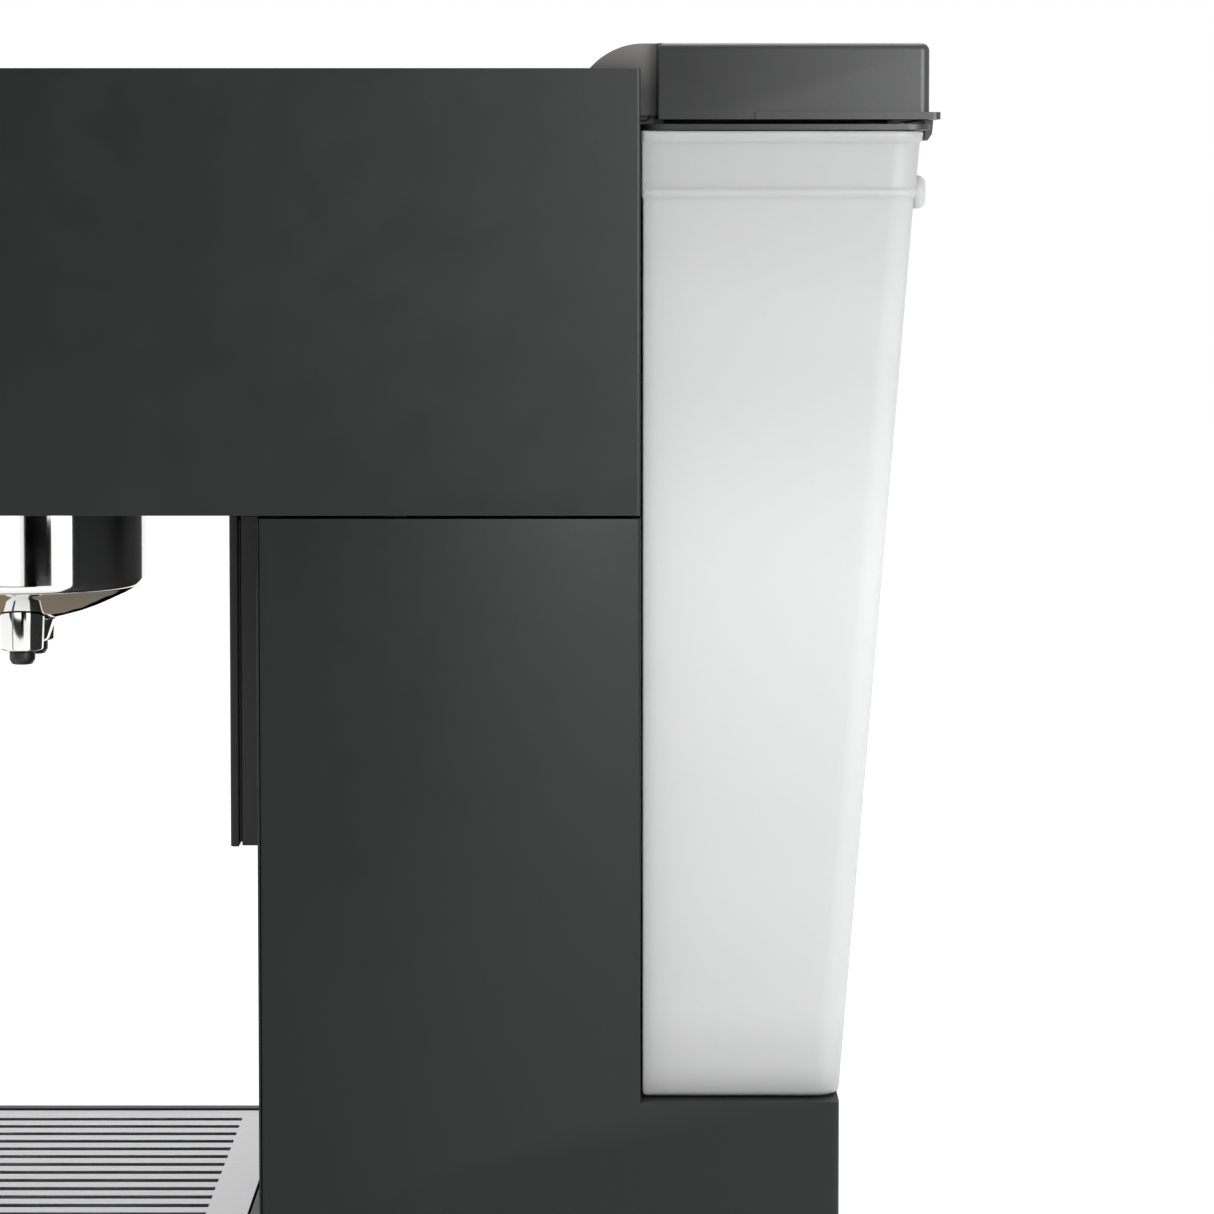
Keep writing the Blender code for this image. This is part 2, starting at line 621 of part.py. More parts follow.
def make_group():
    """Group head with its bayonet ring, the gasket, the shower screen and its screw."""
    at = (0, GROUP_Y, 0)
    ring = [(2.9, 243), (34, 243), (34, 233), (GROUP_RADIUS, 233), (GROUP_RADIUS, HEAD_BOTTOM + GAP),
            (33, HEAD_BOTTOM + GAP),
            (33, 222.3), (40, 222.3), (40, 229), (32.6, 229), (32.6, 236.5), (2.9, 236.5)]
    group = turned("group_head", ring, "aluminium", at, steps=40)
    for i in (0, 1):
        slot = box("entry_slot_%d" % i, (30, -13, HEAD_BOTTOM - 3), (39.9, 13, 222.9))
        turn = Matrix.Rotation(UNLOCK_ANGLE + math.pi * i, 4, "Z")
        slot.matrix_world = Matrix.Translation((0, GROUP_Y * MM, 0)) @ turn
        cut(group, slot)
    turned("group_gasket", [(25, 236.2), (32.2, 236.2), (32.2, 229.8), (25, 229.8)], "rubber", at, steps=32)
    screen = [(23.6, 236.2), (24.6, 236.2), (24.6, 230.0), (2.4, 230.0), (2.4, 231.2), (23.6, 231.2)]
    turned("shower_screen", screen, "steel", at, steps=28)
    screw = [(0, 241), (2.0, 241), (2.0, 229.7), (4.2, 229.7), (4.2, 227.6), (0, 227.6)]
    turned("screen_screw", screw, "steel", at, steps=16)


def make_portafilter():
    """Portafilter with its ears and neck, the basket in it, the handle and the double spout."""
    at = (0, GROUP_Y, 0)
    dome = [(29.9, RIM_Z - 0.2), (22.5, 190.2), (15.0, 187.2), (7.4, 185.2)]
    cup = [(28.2, PORTAFILTER_TOP), (PORTAFILTER_RADIUS, PORTAFILTER_TOP),
           (PORTAFILTER_RADIUS, RIM_Z + 1.4)]
    cup += dome + [(4.0, 184.8), (4.0, 193.0), (28.2, 200.0)]
    body = turned("portafilter_body", cup, "chrome", at, steps=44)
    for i in (0, 1):
        ear = box("ear_%d" % i, (EAR_SPAN[0], -10.5, 222.9), (EAR_SPAN[1], 10.5, 226.9), None,
                  ((1, 0, 0), 1.2))
        ear.matrix_world = Matrix.Translation((0, GROUP_Y * MM, 0)) @ Matrix.Rotation(math.pi * i, 4, "Z")
        join(body, ear)
    join(body, rod("neck", (0, GROUP_Y - 30, HANDLE_Z), (0, GROUP_Y - 41, HANDLE_Z), 8.0, segments=28))

    basket = [(26.9, 229.3), (30.7, 229.3), (30.7, 228.4), (27.7, 228.4), (26.6, 206.6), (2.0, 206.6),
              (2.0, 207.5),
              (25.8, 207.5)]
    turned("filter_basket", basket, "steel", at, steps=32)

    y = GROUP_Y - 41 - GAP
    ring = [(0, 0), (10.6, 0), (11.4, -0.8), (11.4, -5.2), (10.6, -6.0), (0, -6.0)]
    turned("handle_ring", ring, "chrome", (0, y, HANDLE_Z), (0, 1, 0), steps=24)
    reach = y - 6.0 - GAP - HANDLE_END
    grip = [(0, 0), (9.6, 0), (10.0, -0.8), (11.0, -reach * 0.35), (13.6, -reach * 0.8), (14.4, -reach + 5),
            (13.2, -reach + 1.4), (10.4, -reach), (0, -reach)]
    turned("portafilter_handle", grip, "black", (0, y - 6.0 - GAP, HANDLE_Z), (0, 1, 0), steps=28)
    make_spouts(dome)


def make_spouts(dome):
    """Double spout under the dome: one casting with two chimneys, each ending in a dark tip."""
    block = rod("spout_block", (0, GROUP_Y, SPOUT_LOW + 0.7), (0, GROUP_Y, 192), 7.4, "chrome", 20)
    for name, side in (("left", -1), ("right", 1)):
        x = side * SPOUT_X
        chimney = rod("chimney_" + name, (x, GROUP_Y, SPOUT_LOW), (x, GROUP_Y, 192.1), CHIMNEY_RADIUS,
                      segments=20)
        join(block, chimney)
    bridge = box("spout_bridge", (-SPOUT_X, GROUP_Y - 4.6, SPOUT_LOW + 1.2),
                 (SPOUT_X, GROUP_Y + 4.6, 191.7))
    join(block, bridge)
    clear = [(0, 230), (34, 230), (34, RIM_Z)] + [(r, z - GAP) for r, z in dome] + [(0, 185.2 - 2 * GAP)]
    cut(block, turned("dome_clearance", clear, None, (0, GROUP_Y, 0), steps=40))
    cut(block, rod("coffee_way", (0, GROUP_Y, 181.4), (0, GROUP_Y, 190), 2.4, segments=12))
    cut(block, rod("cross_way", (-SPOUT_X, GROUP_Y, 181.6), (SPOUT_X, GROUP_Y, 181.6), 2.2, segments=12))
    for name, side in (("left", -1), ("right", 1)):
        x = side * SPOUT_X
        cut(block, rod("fall_way_" + name, (x, GROUP_Y, 170), (x, GROUP_Y, 182.6), 2.5, segments=12))
        tip = [(1.9, SPOUT_LOW - GAP), (3.4, SPOUT_LOW - GAP), (3.4, TIP_LOW + 1.2), (2.6, TIP_LOW),
               (1.9, TIP_LOW)]
        turned("spout_tip_" + name, tip, "black", (x, GROUP_Y, 0), steps=20)


# ---------------------------------------------------------------- controls and steam


def make_panel():
    """Front panel with its button and knob holes, and the board behind it."""
    y0, y1 = HEAD_FRONT + 0.2, HEAD_FRONT + 2.6
    panel = box("control_panel", (-PANEL_HALF + GAP, y0, PANEL_LOW + GAP),
                (PANEL_HALF - GAP, y1, PANEL_HIGH - GAP), "black",
                ((0, 1, 0), 3.0))
    flange = box("panel_flange", (-PANEL_HALF - 4, HEAD_FRONT + WALL + GAP, PANEL_LOW - 4),
                 (PANEL_HALF + 4, HEAD_FRONT + 4.6, PANEL_HIGH + 4))
    neck = box("panel_neck", (-PANEL_HALF + 2, y1 - 1, PANEL_LOW + 2),
               (PANEL_HALF - 2, HEAD_FRONT + 4, PANEL_HIGH - 2))
    join(panel, neck, flange)
    for i, x in enumerate(BUTTON_X):
        cut(panel, rod("button_hole_%d" % i, (x, y0 - 2, BUTTON_Z), (x, y1 + 8, BUTTON_Z),
                       BUTTON_RADIUS + GAP, segments=24))
    cut(panel, rod("spindle_hole", (KNOB_X, y0 - 2, BUTTON_Z), (KNOB_X, y1 + 8, BUTTON_Z), 3.6,
                   segments=20))

    board_front = HEAD_FRONT + BOARD_DEPTH
    for name, x in zip(("power", "coffee", "steam"), BUTTON_X):
        cap = [(0, 1.4), (7.4, 1.4), (BUTTON_RADIUS, 0.5), (BUTTON_RADIUS, -5.8), (0, -5.8)]
        button = turned(name + "_button", cap, "charcoal_light", (x, HEAD_FRONT, BUTTON_Z), (0, -1, 0),
                        steps=24)
        stem_end = board_front - SWITCH_DEPTH - GAP - BUTTON_TRAVEL
        stem = rod(name + "_stem", (x, HEAD_FRONT + 5, BUTTON_Z), (x, stem_end, BUTTON_Z), 2.4, segments=12)
        join(button, stem)

    board = box("control_board", (-52, board_front, 252), (24, board_front + 1.6, 308), "board")
    for i, x in enumerate(BUTTON_X):
        join(board, box("switch_%d" % i, (x - 3.2, board_front - SWITCH_DEPTH, BUTTON_Z - 3.2),
                        (x + 3.2, board_front + 0.4, BUTTON_Z + 3.2)))


def make_steam():
    """Steam knob on its spindle, the valve, its pipes, and the wand under the head."""
    y = HEAD_FRONT - 1.4
    knob = [(0, 15.5), (12.6, 15.5), (14.0, 14.2), (14.6, 0), (0, 0)]
    knob_obj = turned("steam_knob", knob, "charcoal_light", (KNOB_X, y, BUTTON_Z), (0, -1, 0), steps=36)
    for i in range(12):
        angle = 2 * math.pi * i / 12
        dx, dz = 15.4 * math.cos(angle), 15.4 * math.sin(angle)
        cut(knob_obj, rod("knob_flute_%02d" % i, (KNOB_X + dx, y - 17, BUTTON_Z + dz),
                          (KNOB_X + dx, y - 3, BUTTON_Z + dz), 1.7,
                          segments=8))
    rod("steam_spindle", (KNOB_X, y + GAP, BUTTON_Z), (KNOB_X, -71.5, BUTTON_Z), 3.0, "brass", 20)
    valve = box("steam_valve", (KNOB_X - 10, -77, BUTTON_Z - 12), (KNOB_X + 10, -52, BUTTON_Z + 12),
                "brass", ((0, 1, 0), 2.0))
    cut(valve, rod("spindle_bore", (KNOB_X, -79, BUTTON_Z), (KNOB_X, -71, BUTTON_Z), 3.3, segments=20))

    nut_top = HEAD_BOTTOM + 8.0
    nut = [(4.4, nut_top), (8.0, nut_top), (8.0, 214.2), (6.6, 211.6), (5.6, 211.6), (5.6, 216.0),
           (4.4, 219.0)]
    turned("wand_nut", nut, "chrome", (WAND_X, WAND_Y, 0), steps=24)
    tube("steam_pipe", [(KNOB_X + 4, -60, BUTTON_Z - 12.5), (KNOB_X + 4, -60, 259), (KNOB_X + 7, -64, 248),
                        (WAND_X, WAND_Y, 236), (WAND_X, WAND_Y, 226.4)], 2.0, "steel")
    x, y = WAND_X, WAND_Y
    out_x, out_y = x + WAND_REACH[0], y + WAND_REACH[1]
    route = [(x, y, 222.0), (x, y, 214), (x, y - 1, 200), (x + 3, y - 8, 178), (out_x, out_y, 156),
             (out_x, out_y, 146), (out_x, out_y, WAND_LOW + 8.4)]
    tube("steam_wand", route, WAND_RADIUS, "steel", spacing=8.0)
    joint_z = HEAD_BOTTOM - 3.9
    ball = [(3.7, joint_z + 3.6)]
    ball += [(5.2 * math.cos(a), joint_z + 5.2 * math.sin(a)) for a in (0.6, 0.2, -0.2, -0.6)]
    ball.append((3.7, joint_z - 3.6))
    turned("wand_ball", ball, "steel", (x, y, 0), steps=16)
    top, low = SLEEVE_TOP, SLEEVE_LOW
    sleeve = [(3.8, top), (5.8, top), (6.4, top - 2), (7.0, low + 2), (6.4, low), (3.8, low)]
    turned("frothing_sleeve", sleeve, "black", (out_x, out_y, 0), steps=20)
    low = WAND_LOW
    tip = [(0, low + 8.0), (4.2, low + 8.0), (4.4, low + 4.4), (3.2, low + 0.8), (0, low)]
    turned("wand_tip", tip, "steel", (out_x, out_y, 0), steps=24)


def make_thermoblock():
    """Cast heater block over the group, its thermostat, the brew valve and the steam feed pipe."""
    block = box("thermoblock", (-31, GROUP_Y - 33, 246), (29, GROUP_Y + 33, 282), "aluminium",
                ((0, 0, 1), 5.0))
    for i in range(4):
        y = GROUP_Y - 24 + i * 16
        cut(block, box("cooling_groove_%d" % i, (-35, y - 1.5, 276), (18, y + 1.5, 290)))
    turned("thermostat", [(0, 292), (8, 292), (8, 286), (10, 286), (10, 282.3), (0, 282.3)], "white",
           (23.0 - 4.5, GROUP_Y + 8, 0), steps=24)
    valve = box("brew_valve", (-14, GROUP_Y + 33.4, 248), (14, GROUP_Y + 63, 284), "black",
                ((0, 0, 1), 2.0))
    join(valve, rod("valve_coil_top", (0, GROUP_Y + 48, 280), (0, GROUP_Y + 48, 292), 8.0, segments=24))
    tube("steam_feed_pipe", [(29.4, -36, 262), (34, -36, 262), (KNOB_X, -36.5, 268),
                             (KNOB_X, -42, BUTTON_Z),
                             (KNOB_X, -51.6, BUTTON_Z)], 1.8, "steel", spacing=4.0)


# ---------------------------------------------------------------- water path and power


def make_pump():
    """Vibration pump on two rubber rings, with the piston that shuttles in its bore."""
    x, y = PUMP_X, PUMP_Y
    pump = box("vibration_pump", (x - 21, y - 21, 92), (x + 21, y + 21, 138), "black", ((0, 0, 1), 3.0))
    join(pump, rod("pump_inlet", (x, y, 66), (x, y, 93), 9.0, segments=28),
         rod("pump_outlet", (x, y, 137), (x, y, 164), 9.0, segments=28))
    cut(pump, rod("pump_bore", (x, y, 60), (x, y, 170), 5.2, segments=24))
    turned("pump_piston", [(0, 128), (4.9, 128), (4.9, 96), (0, 96)], "steel", (x, y, 0), steps=24)
    for name, low in (("lower", 76.0), ("upper", 146.0)):
        ring = [(9.3, low + 8), (15.5, low + 8), (15.5, low), (9.3, low)]
        turned("pump_mount_" + name, ring, "rubber", (x, y, 0), steps=20)

    tube("suction_hose", [(0, VALVE_Y, 45.9), (0, VALVE_Y, 40), (-3, 136, 26), (-20, 98, 20), (-32, 77, 30),
                          (x, y, 52), (x, y, 65.6)], 3.4, "silicone", spacing=9.0)
    tube("pressure_hose", [(x, y, 164.4), (x, y, 176), (-24, 60, 200), (-14, 40, 226), (-20, 10, 236),
                           (-34, -2, 250),
                           (-42, GROUP_Y + 22, 262), (-40, GROUP_Y + 12, 264),
                           (-31.6, GROUP_Y + 12, 264)], 2.4, "white", spacing=7.5)


def make_power_board():
    """Mains board with its relay, capacitor and heat sink, upright along the column's right wall."""
    board = box("power_board", (60, 36, 92), (61.6, 104, 196), "board")
    join(board, box("relay", (42, 44, 104), (60.6, 62, 128)))
    join(board, rod("capacitor", (40, 84, 118), (60.6, 84, 118), 8.0, segments=24))
    join(board, box("heat_sink", (44, 48, 150), (60.6, 90, 156)))


def hang_moving_pieces():
    """Put an empty on every joint's axis and parent that joint's pieces to it."""
    tray = hang("tray_slide", (0, 0, BASE_BOTTOM), "drip_tray")
    grid = hang("grid_lift", (0, 0, BASE_TOP), "drip_grid")
    bob = hang("float_lift", (*FLOAT, BASE_TOP), "tray_float")
    tank = hang("tank_lift", (0, VALVE_Y, TANK_BOTTOM), "water_tank", "tank_collar", "lid_hinge_pin",
                "tank_valve_body", "valve_cage", "valve_spring", "spigot_seal")
    lid = hang("lid_hinge", (0, LID_AXIS_Y, LID_AXIS_Z), "tank_lid")
    plunger = hang("plunger_slide", (0, VALVE_Y, TANK_BOTTOM), "valve_plunger")
    for joint, carrier in ((grid, tray), (bob, tray), (lid, tank), (plunger, tank)):
        joint.parent = carrier
        joint.matrix_parent_inverse = Matrix.Translation(-carrier.location)
    hang("portafilter_turn", (0, GROUP_Y, HANDLE_Z), "portafilter_body", "filter_basket", "handle_ring",
         "portafilter_handle", "spout_block", "spout_tip_left", "spout_tip_right")
    hang("wand_swivel", (WAND_X, WAND_Y, HEAD_BOTTOM), "steam_wand", "wand_ball", "frothing_sleeve",
         "wand_tip")
    hang("knob_turn", (KNOB_X, HEAD_FRONT, BUTTON_Z), "steam_knob", "steam_spindle")
    for name, x in zip(("power", "coffee", "steam"), BUTTON_X):
        hang(name + "_press", (x, HEAD_FRONT, BUTTON_Z), name + "_button")
    hang("piston_shuttle", (PUMP_X, PUMP_Y, 112), "pump_piston")


def main():
    clear_scene()
    make_base()
    make_feet()
    make_body_shell()
    make_head()
    make_splash_panel()
    make_cord_gland()
    make_drip_tray()
    make_tank()
    make_tank_valve()
    make_tank_socket()
    make_lid()
    make_group()
    make_portafilter()
    make_panel()
    make_steam()
    make_thermoblock()
    make_pump()
    make_power_board()
    hang_moving_pieces()


main()
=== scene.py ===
# %% [markdown]
# # A slim pump espresso machine with a lift-out water tank
# The machine is an upright column with a long head on top, a low base in front and a frosted
# water tank behind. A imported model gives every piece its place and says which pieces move.
# This lesson builds the looks around that model: first the camera and the studio, then the
# finishes, then the pieces one after the other.

# %% Load the frame
import math

import bmesh
import bpy
from mathutils import Matrix, Vector


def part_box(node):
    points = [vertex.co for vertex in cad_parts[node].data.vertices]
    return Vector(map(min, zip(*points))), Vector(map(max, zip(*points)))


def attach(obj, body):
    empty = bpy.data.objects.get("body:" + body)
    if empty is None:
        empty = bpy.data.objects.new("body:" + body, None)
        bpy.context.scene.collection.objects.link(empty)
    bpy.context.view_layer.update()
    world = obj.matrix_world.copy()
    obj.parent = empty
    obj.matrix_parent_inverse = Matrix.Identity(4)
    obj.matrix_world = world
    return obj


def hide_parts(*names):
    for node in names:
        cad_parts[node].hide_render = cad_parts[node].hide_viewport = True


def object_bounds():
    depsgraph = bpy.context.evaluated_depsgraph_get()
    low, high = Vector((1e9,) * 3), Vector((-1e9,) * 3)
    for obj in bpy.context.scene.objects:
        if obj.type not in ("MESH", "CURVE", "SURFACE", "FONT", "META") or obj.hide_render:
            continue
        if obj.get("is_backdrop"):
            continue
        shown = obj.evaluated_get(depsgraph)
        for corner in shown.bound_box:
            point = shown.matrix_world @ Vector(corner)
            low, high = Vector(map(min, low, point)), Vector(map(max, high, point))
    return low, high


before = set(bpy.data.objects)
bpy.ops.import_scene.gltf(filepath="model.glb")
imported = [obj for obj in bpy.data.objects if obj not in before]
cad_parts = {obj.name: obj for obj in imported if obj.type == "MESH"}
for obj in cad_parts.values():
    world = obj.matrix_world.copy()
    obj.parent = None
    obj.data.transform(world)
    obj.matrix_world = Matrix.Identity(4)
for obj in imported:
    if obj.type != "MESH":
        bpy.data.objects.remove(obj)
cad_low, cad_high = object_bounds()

MM = 0.001
print("the machine spans", [round(v, 4) for v in cad_high - cad_low], "metres")

# %% [markdown]
# ## Camera
# A product shot of an upright appliance keeps its vertical edges almost parallel. The lens sits
# a little below the lid's top, and the middle of the frame lies well below it. Part of that drop
# comes from tilting the camera a few degrees, and part from a small lens shift, as on a view
# camera. A long lens from about a metre away keeps the near and far sides almost the same size.

# %% Set up the camera
DISTANCE = 1.05
EYE_HEIGHT = 0.3043
MIDDLE_HEIGHT = 0.195
FRAME_WIDTH = 0.3028
SENSOR = 36.0
SHIFT = 0.15
near_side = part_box("body_shell")[1].x

drop = EYE_HEIGHT - MIDDLE_HEIGHT
reach = math.hypot(DISTANCE, drop)
camera_data = bpy.data.cameras.new("studio_camera")
camera_data.sensor_width = SENSOR
camera_data.lens = math.sqrt((SENSOR * reach / FRAME_WIDTH) ** 2 - (SHIFT * SENSOR) ** 2)
camera_data.shift_y = -SHIFT
tilt = math.atan2(drop, DISTANCE) - math.atan2(SHIFT * SENSOR, camera_data.lens)
camera = bpy.data.objects.new("studio_camera", camera_data)
camera.location = (near_side + DISTANCE, 0.1106, EYE_HEIGHT)
camera.rotation_euler = (math.radians(90) - tilt, 0.0, math.radians(90))
bpy.context.scene.collection.objects.link(camera)
bpy.context.scene.camera = camera
print("lens", round(camera_data.lens, 1), "mm, tilted", round(math.degrees(tilt), 2), "degrees")

# %% [markdown]
# ## Studio
# The machine is dark and the tank is milky, so the room is bright all round: a white surround
# lights the tank from behind and gives the dark plastic a soft sheen. The floor is a plain pale
# sheet that glows a little itself, so it stays white next to the dark column. The plain view
# transform keeps white as white.


# %% Light the room
def plain_sheet(name, corners):
    """One flat rectangle with its corners given in metres."""
    bm = bmesh.new()
    bm.faces.new([bm.verts.new(corner) for corner in corners])
    mesh = bpy.data.meshes.new(name)
    bm.to_mesh(mesh)
    bm.free()
    sheet = bpy.data.objects.new(name, mesh)
    bpy.context.scene.collection.objects.link(sheet)
    sheet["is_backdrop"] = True
    return sheet


def glowing(name, colour, strength, albedo):
    """A pale matte surface that also gives off some light of its own."""
    material = bpy.data.materials.new(name)
    material.use_nodes = True
    shader = material.node_tree.nodes["Principled BSDF"]
    shader.inputs["Base Color"].default_value = (*albedo, 1.0)
    shader.inputs["Roughness"].default_value = 0.9
    shader.inputs["Specular IOR Level"].default_value = 0.0
    shader.inputs["Emission Color"].default_value = (*colour, 1.0)
    shader.inputs["Emission Strength"].default_value = strength
    return material


scene = bpy.context.scene
scene.view_settings.view_transform = "Standard"
world = bpy.data.worlds.new("white_room")
world.use_nodes = True
world.node_tree.nodes["Background"].inputs["Color"].default_value = (1.0, 1.0, 1.0, 1.0)
world.node_tree.nodes["Background"].inputs["Strength"].default_value = 1.0
scene.world = world

FLOOR_HALF = 4.0
floor = plain_sheet("studio_floor", [(-FLOOR_HALF, -FLOOR_HALF, 0), (FLOOR_HALF, -FLOOR_HALF, 0),
                                     (FLOOR_HALF, FLOOR_HALF, 0), (-FLOOR_HALF, FLOOR_HALF, 0)])
floor.data.materials.append(glowing("pale_floor", (1.0, 1.0, 1.0), 0.45, (0.6, 0.6, 0.6)))
print("floor", 2 * FLOOR_HALF, "metres wide")

# %% [markdown]
# ## Lamps
# Two soft lamps shape the dark plastic. One hangs high over the far side. The other is close to
# the machine's rear shoulder: because it is close, its light falls off along the housing, and
# the rear of the head comes out lighter than the front. Neither is seen by the camera itself.


# %% Place the lamps
def soft_lamp(name, place, aim, size, power):
    """A square area lamp at place, turned to face aim."""
    data = bpy.data.lights.new(name, "AREA")
    data.shape = "SQUARE"
    data.size = size
    data.energy = power
    lamp = bpy.data.objects.new(name, data)
    lamp.location = place
    lamp.rotation_euler = (Vector(aim) - Vector(place)).to_track_quat("-Z", "Y").to_euler()
    lamp.visible_camera = False
    bpy.context.scene.collection.objects.link(lamp)
    return lamp


soft_lamp("rear_lamp", (0.50, 0.46, 0.36), (0.07, 0.10, 0.26), 0.22, 2.4)
soft_lamp("top_lamp", (-0.5, 0.1, 1.4), (0.0, 0.0, 0.3), 0.8, 9.0)

# %% [markdown]
# ## Cards for the reflections
# Polished metal shows only what stands round it, and even matte plastic mirrors a blurred room.
# So a photographer stands black and white cards beside the camera. A large black card keeps the
# front of the housing dark and ends level with the tank, which gives the plastic its gradient. A
# slot in it lets the chrome see a row of smaller cards farther away, and they make its upright
# bands. Tan cards that fade to stone grey lie on the table for the chrome's underside. Only
# mirror-like rays see the cards, so they leave every other light path alone.


# %% Stand up the cards
def reflected_only(card, colour, strength):
    """Give a card its glow and hide it from everything but reflections."""
    card.data.materials.append(glowing(card.name + "_face", colour, strength, (0.0, 0.0, 0.0)))
    card.visible_camera = False
    card.visible_diffuse = False
    card.visible_transmission = False
    card.visible_volume_scatter = False
    card.visible_shadow = False
    return card


CARD_CIRCLE = 1.25
group_line = sum(v.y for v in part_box("spout_block")) / 2


def band_card(name, start, end, colour, strength, low=0.001, high=0.2):
    """An upright card round the machine, between two compass angles in degrees."""
    a, b = math.radians(start), math.radians(end)
    left = (CARD_CIRCLE * math.cos(a), group_line + CARD_CIRCLE * math.sin(a))
    right = (CARD_CIRCLE * math.cos(b), group_line + CARD_CIRCLE * math.sin(b))
    corners = [(*left, low), (*right, low), (*right, high), (*left, high)]
    return reflected_only(plain_sheet(name, corners), colour, strength)


SHADE_X, SHADE_START, SHADE_END = 0.75, -1.6, 0.17  # metres
SLOT_LOW, SLOT_HIGH, SHADE_TOP = 0.078, 0.196, 1.3
for name, low, high in (("shade_foot", 0.001, SLOT_LOW), ("shade_wall", SLOT_HIGH, SHADE_TOP)):
    sheet = plain_sheet(name, [(SHADE_X, SHADE_START, low), (SHADE_X, SHADE_END, low),
                               (SHADE_X, SHADE_END, high), (SHADE_X, SHADE_START, high)])
    reflected_only(sheet, (0.0, 0.0, 0.0), 0.0)
GLOW_END, GLOW_TOP, GLOW = 0.62, 0.9, 2.4
glow_card = plain_sheet("glow_wall", [(SHADE_X, SHADE_END, SLOT_HIGH), (SHADE_X, GLOW_END, SLOT_HIGH),
                                      (SHADE_X, GLOW_END, GLOW_TOP), (SHADE_X, SHADE_END, GLOW_TOP)])
reflected_only(glow_card, (1.0, 1.0, 1.0), GLOW)
BLACK, GREY, WHITE = (0.0, 0.0, 0.0), (0.05, 0.05, 0.05), (1.0, 1.0, 1.0)
band_card("white_band_front", -40, 0, WHITE, 1.6)
band_card("black_band_middle", 4, 30, BLACK, 0.0)
band_card("white_band_rear", 30, 61, WHITE, 1.7)
band_card("grey_band", 61, 83, GREY, 1.0)
band_card("black_band_rear", 83, 113, BLACK, 0.0)
band_card("black_band_far", 113, 144, BLACK, 0.0)
print("cards stand", CARD_CIRCLE, "metres from the filter holder")

# %% [markdown]
# ## Cards on the table
# The underside of the filter holder mirrors the table. A row of narrow cards, each a little
# greyer than the last, gives it a soft change of colour. Narrow plain strips are simpler than one
# card with a painted blend, and the chrome blurs their edges together.


# %% Lay the table cards
TABLE_LEVEL = 0.001
TABLE_NEAR, TABLE_MIDDLE, TABLE_FAR, TABLE_LEFT = -0.08, -0.40, -1.0, -0.5
TAN, STONE = Vector((0.36, 0.25, 0.14)), Vector((0.20, 0.20, 0.19))
FADE_START, FADE_END, FADE_STEPS = -0.12, 0.02, 14


def table_card(name, far, near, left, right, colour):
    """A card lying on the table, between two distances and two places along the machine."""
    card = plain_sheet(name, [(far, left, TABLE_LEVEL), (near, left, TABLE_LEVEL),
                              (near, right, TABLE_LEVEL), (far, right, TABLE_LEVEL)])
    reflected_only(card, colour, 0.8)


table_card("tan_card", TABLE_MIDDLE, TABLE_NEAR, TABLE_LEFT, FADE_START, TAN)
table_card("dark_card", TABLE_FAR, TABLE_MIDDLE, TABLE_LEFT, FADE_END, BLACK)
for i in range(FADE_STEPS):
    left = FADE_START + (FADE_END - FADE_START) * i / FADE_STEPS
    right = FADE_START + (FADE_END - FADE_START) * (i + 1) / FADE_STEPS
    shade = TAN.lerp(STONE, (i + 0.5) / FADE_STEPS)
    table_card("fading_card_%d" % i, TABLE_MIDDLE, TABLE_NEAR, left, right, shade)
print("table cards:", 2 + FADE_STEPS)

# %% [markdown]
# ## Finishes: small tools
# Every finish is a Principled shader with procedural nodes. The pieces sit at the origin with
# their place in their mesh, so object coordinates are real metres, and a grain of 0.4 mm is the
# same size on every piece. Three tools are enough: a noise at a real size, a spread that turns
# the noise into a range of values, and a bump of a real depth.


# %% Tools for finishes
def new_finish(name, colour, roughness, metallic=0.0):
    """A Principled material to build on."""
    material = bpy.data.materials.new(name)
    material.use_nodes = True
    shader = material.node_tree.nodes["Principled BSDF"]
    shader.inputs["Base Color"].default_value = (*colour, 1.0)
    shader.inputs["Roughness"].default_value = roughness
    shader.inputs["Metallic"].default_value = metallic
    return material


def shader_of(material):
    return material.node_tree.nodes["Principled BSDF"]


def noise_of_size(material, size, stretch=(1.0, 1.0, 1.0), detail=2.0):
    """Noise whose blobs are about size millimetres across, drawn out along an axis if asked."""
    nodes, links = material.node_tree.nodes, material.node_tree.links
    place = nodes.new("ShaderNodeTexCoord")
    mapping = nodes.new("ShaderNodeMapping")
    mapping.inputs["Scale"].default_value = tuple(1.0 / (size * MM * s) for s in stretch)
    noise = nodes.new("ShaderNodeTexNoise")
    noise.inputs["Scale"].default_value = 1.0
    noise.inputs["Detail"].default_value = detail
    links.new(place.outputs["Object"], mapping.inputs["Vector"])
    links.new(mapping.outputs["Vector"], noise.inputs["Vector"])
    return noise.outputs["Fac"]


def spread(material, value, low, high):
    """Turn a noise value into numbers between low and high."""
    node = material.node_tree.nodes.new("ShaderNodeMapRange")
    node.inputs["From Min"].default_value = 0.3
    node.inputs["From Max"].default_value = 0.7
    node.inputs["To Min"].default_value = low
    node.inputs["To Max"].default_value = high
    material.node_tree.links.new(value, node.inputs["Value"])
    return node.outputs["Result"]


def colours_from(material, value, dark, light, start=0.3, end=0.7):
    """Blend two colours by a value."""
    ramp = material.node_tree.nodes.new("ShaderNodeValToRGB")
    ramp.color_ramp.elements[0].position = start
    ramp.color_ramp.elements[1].position = end
    ramp.color_ramp.elements[0].color = (*dark, 1.0)
    ramp.color_ramp.elements[1].color = (*light, 1.0)
    material.node_tree.links.new(value, ramp.inputs["Fac"])
    return ramp.outputs["Color"]


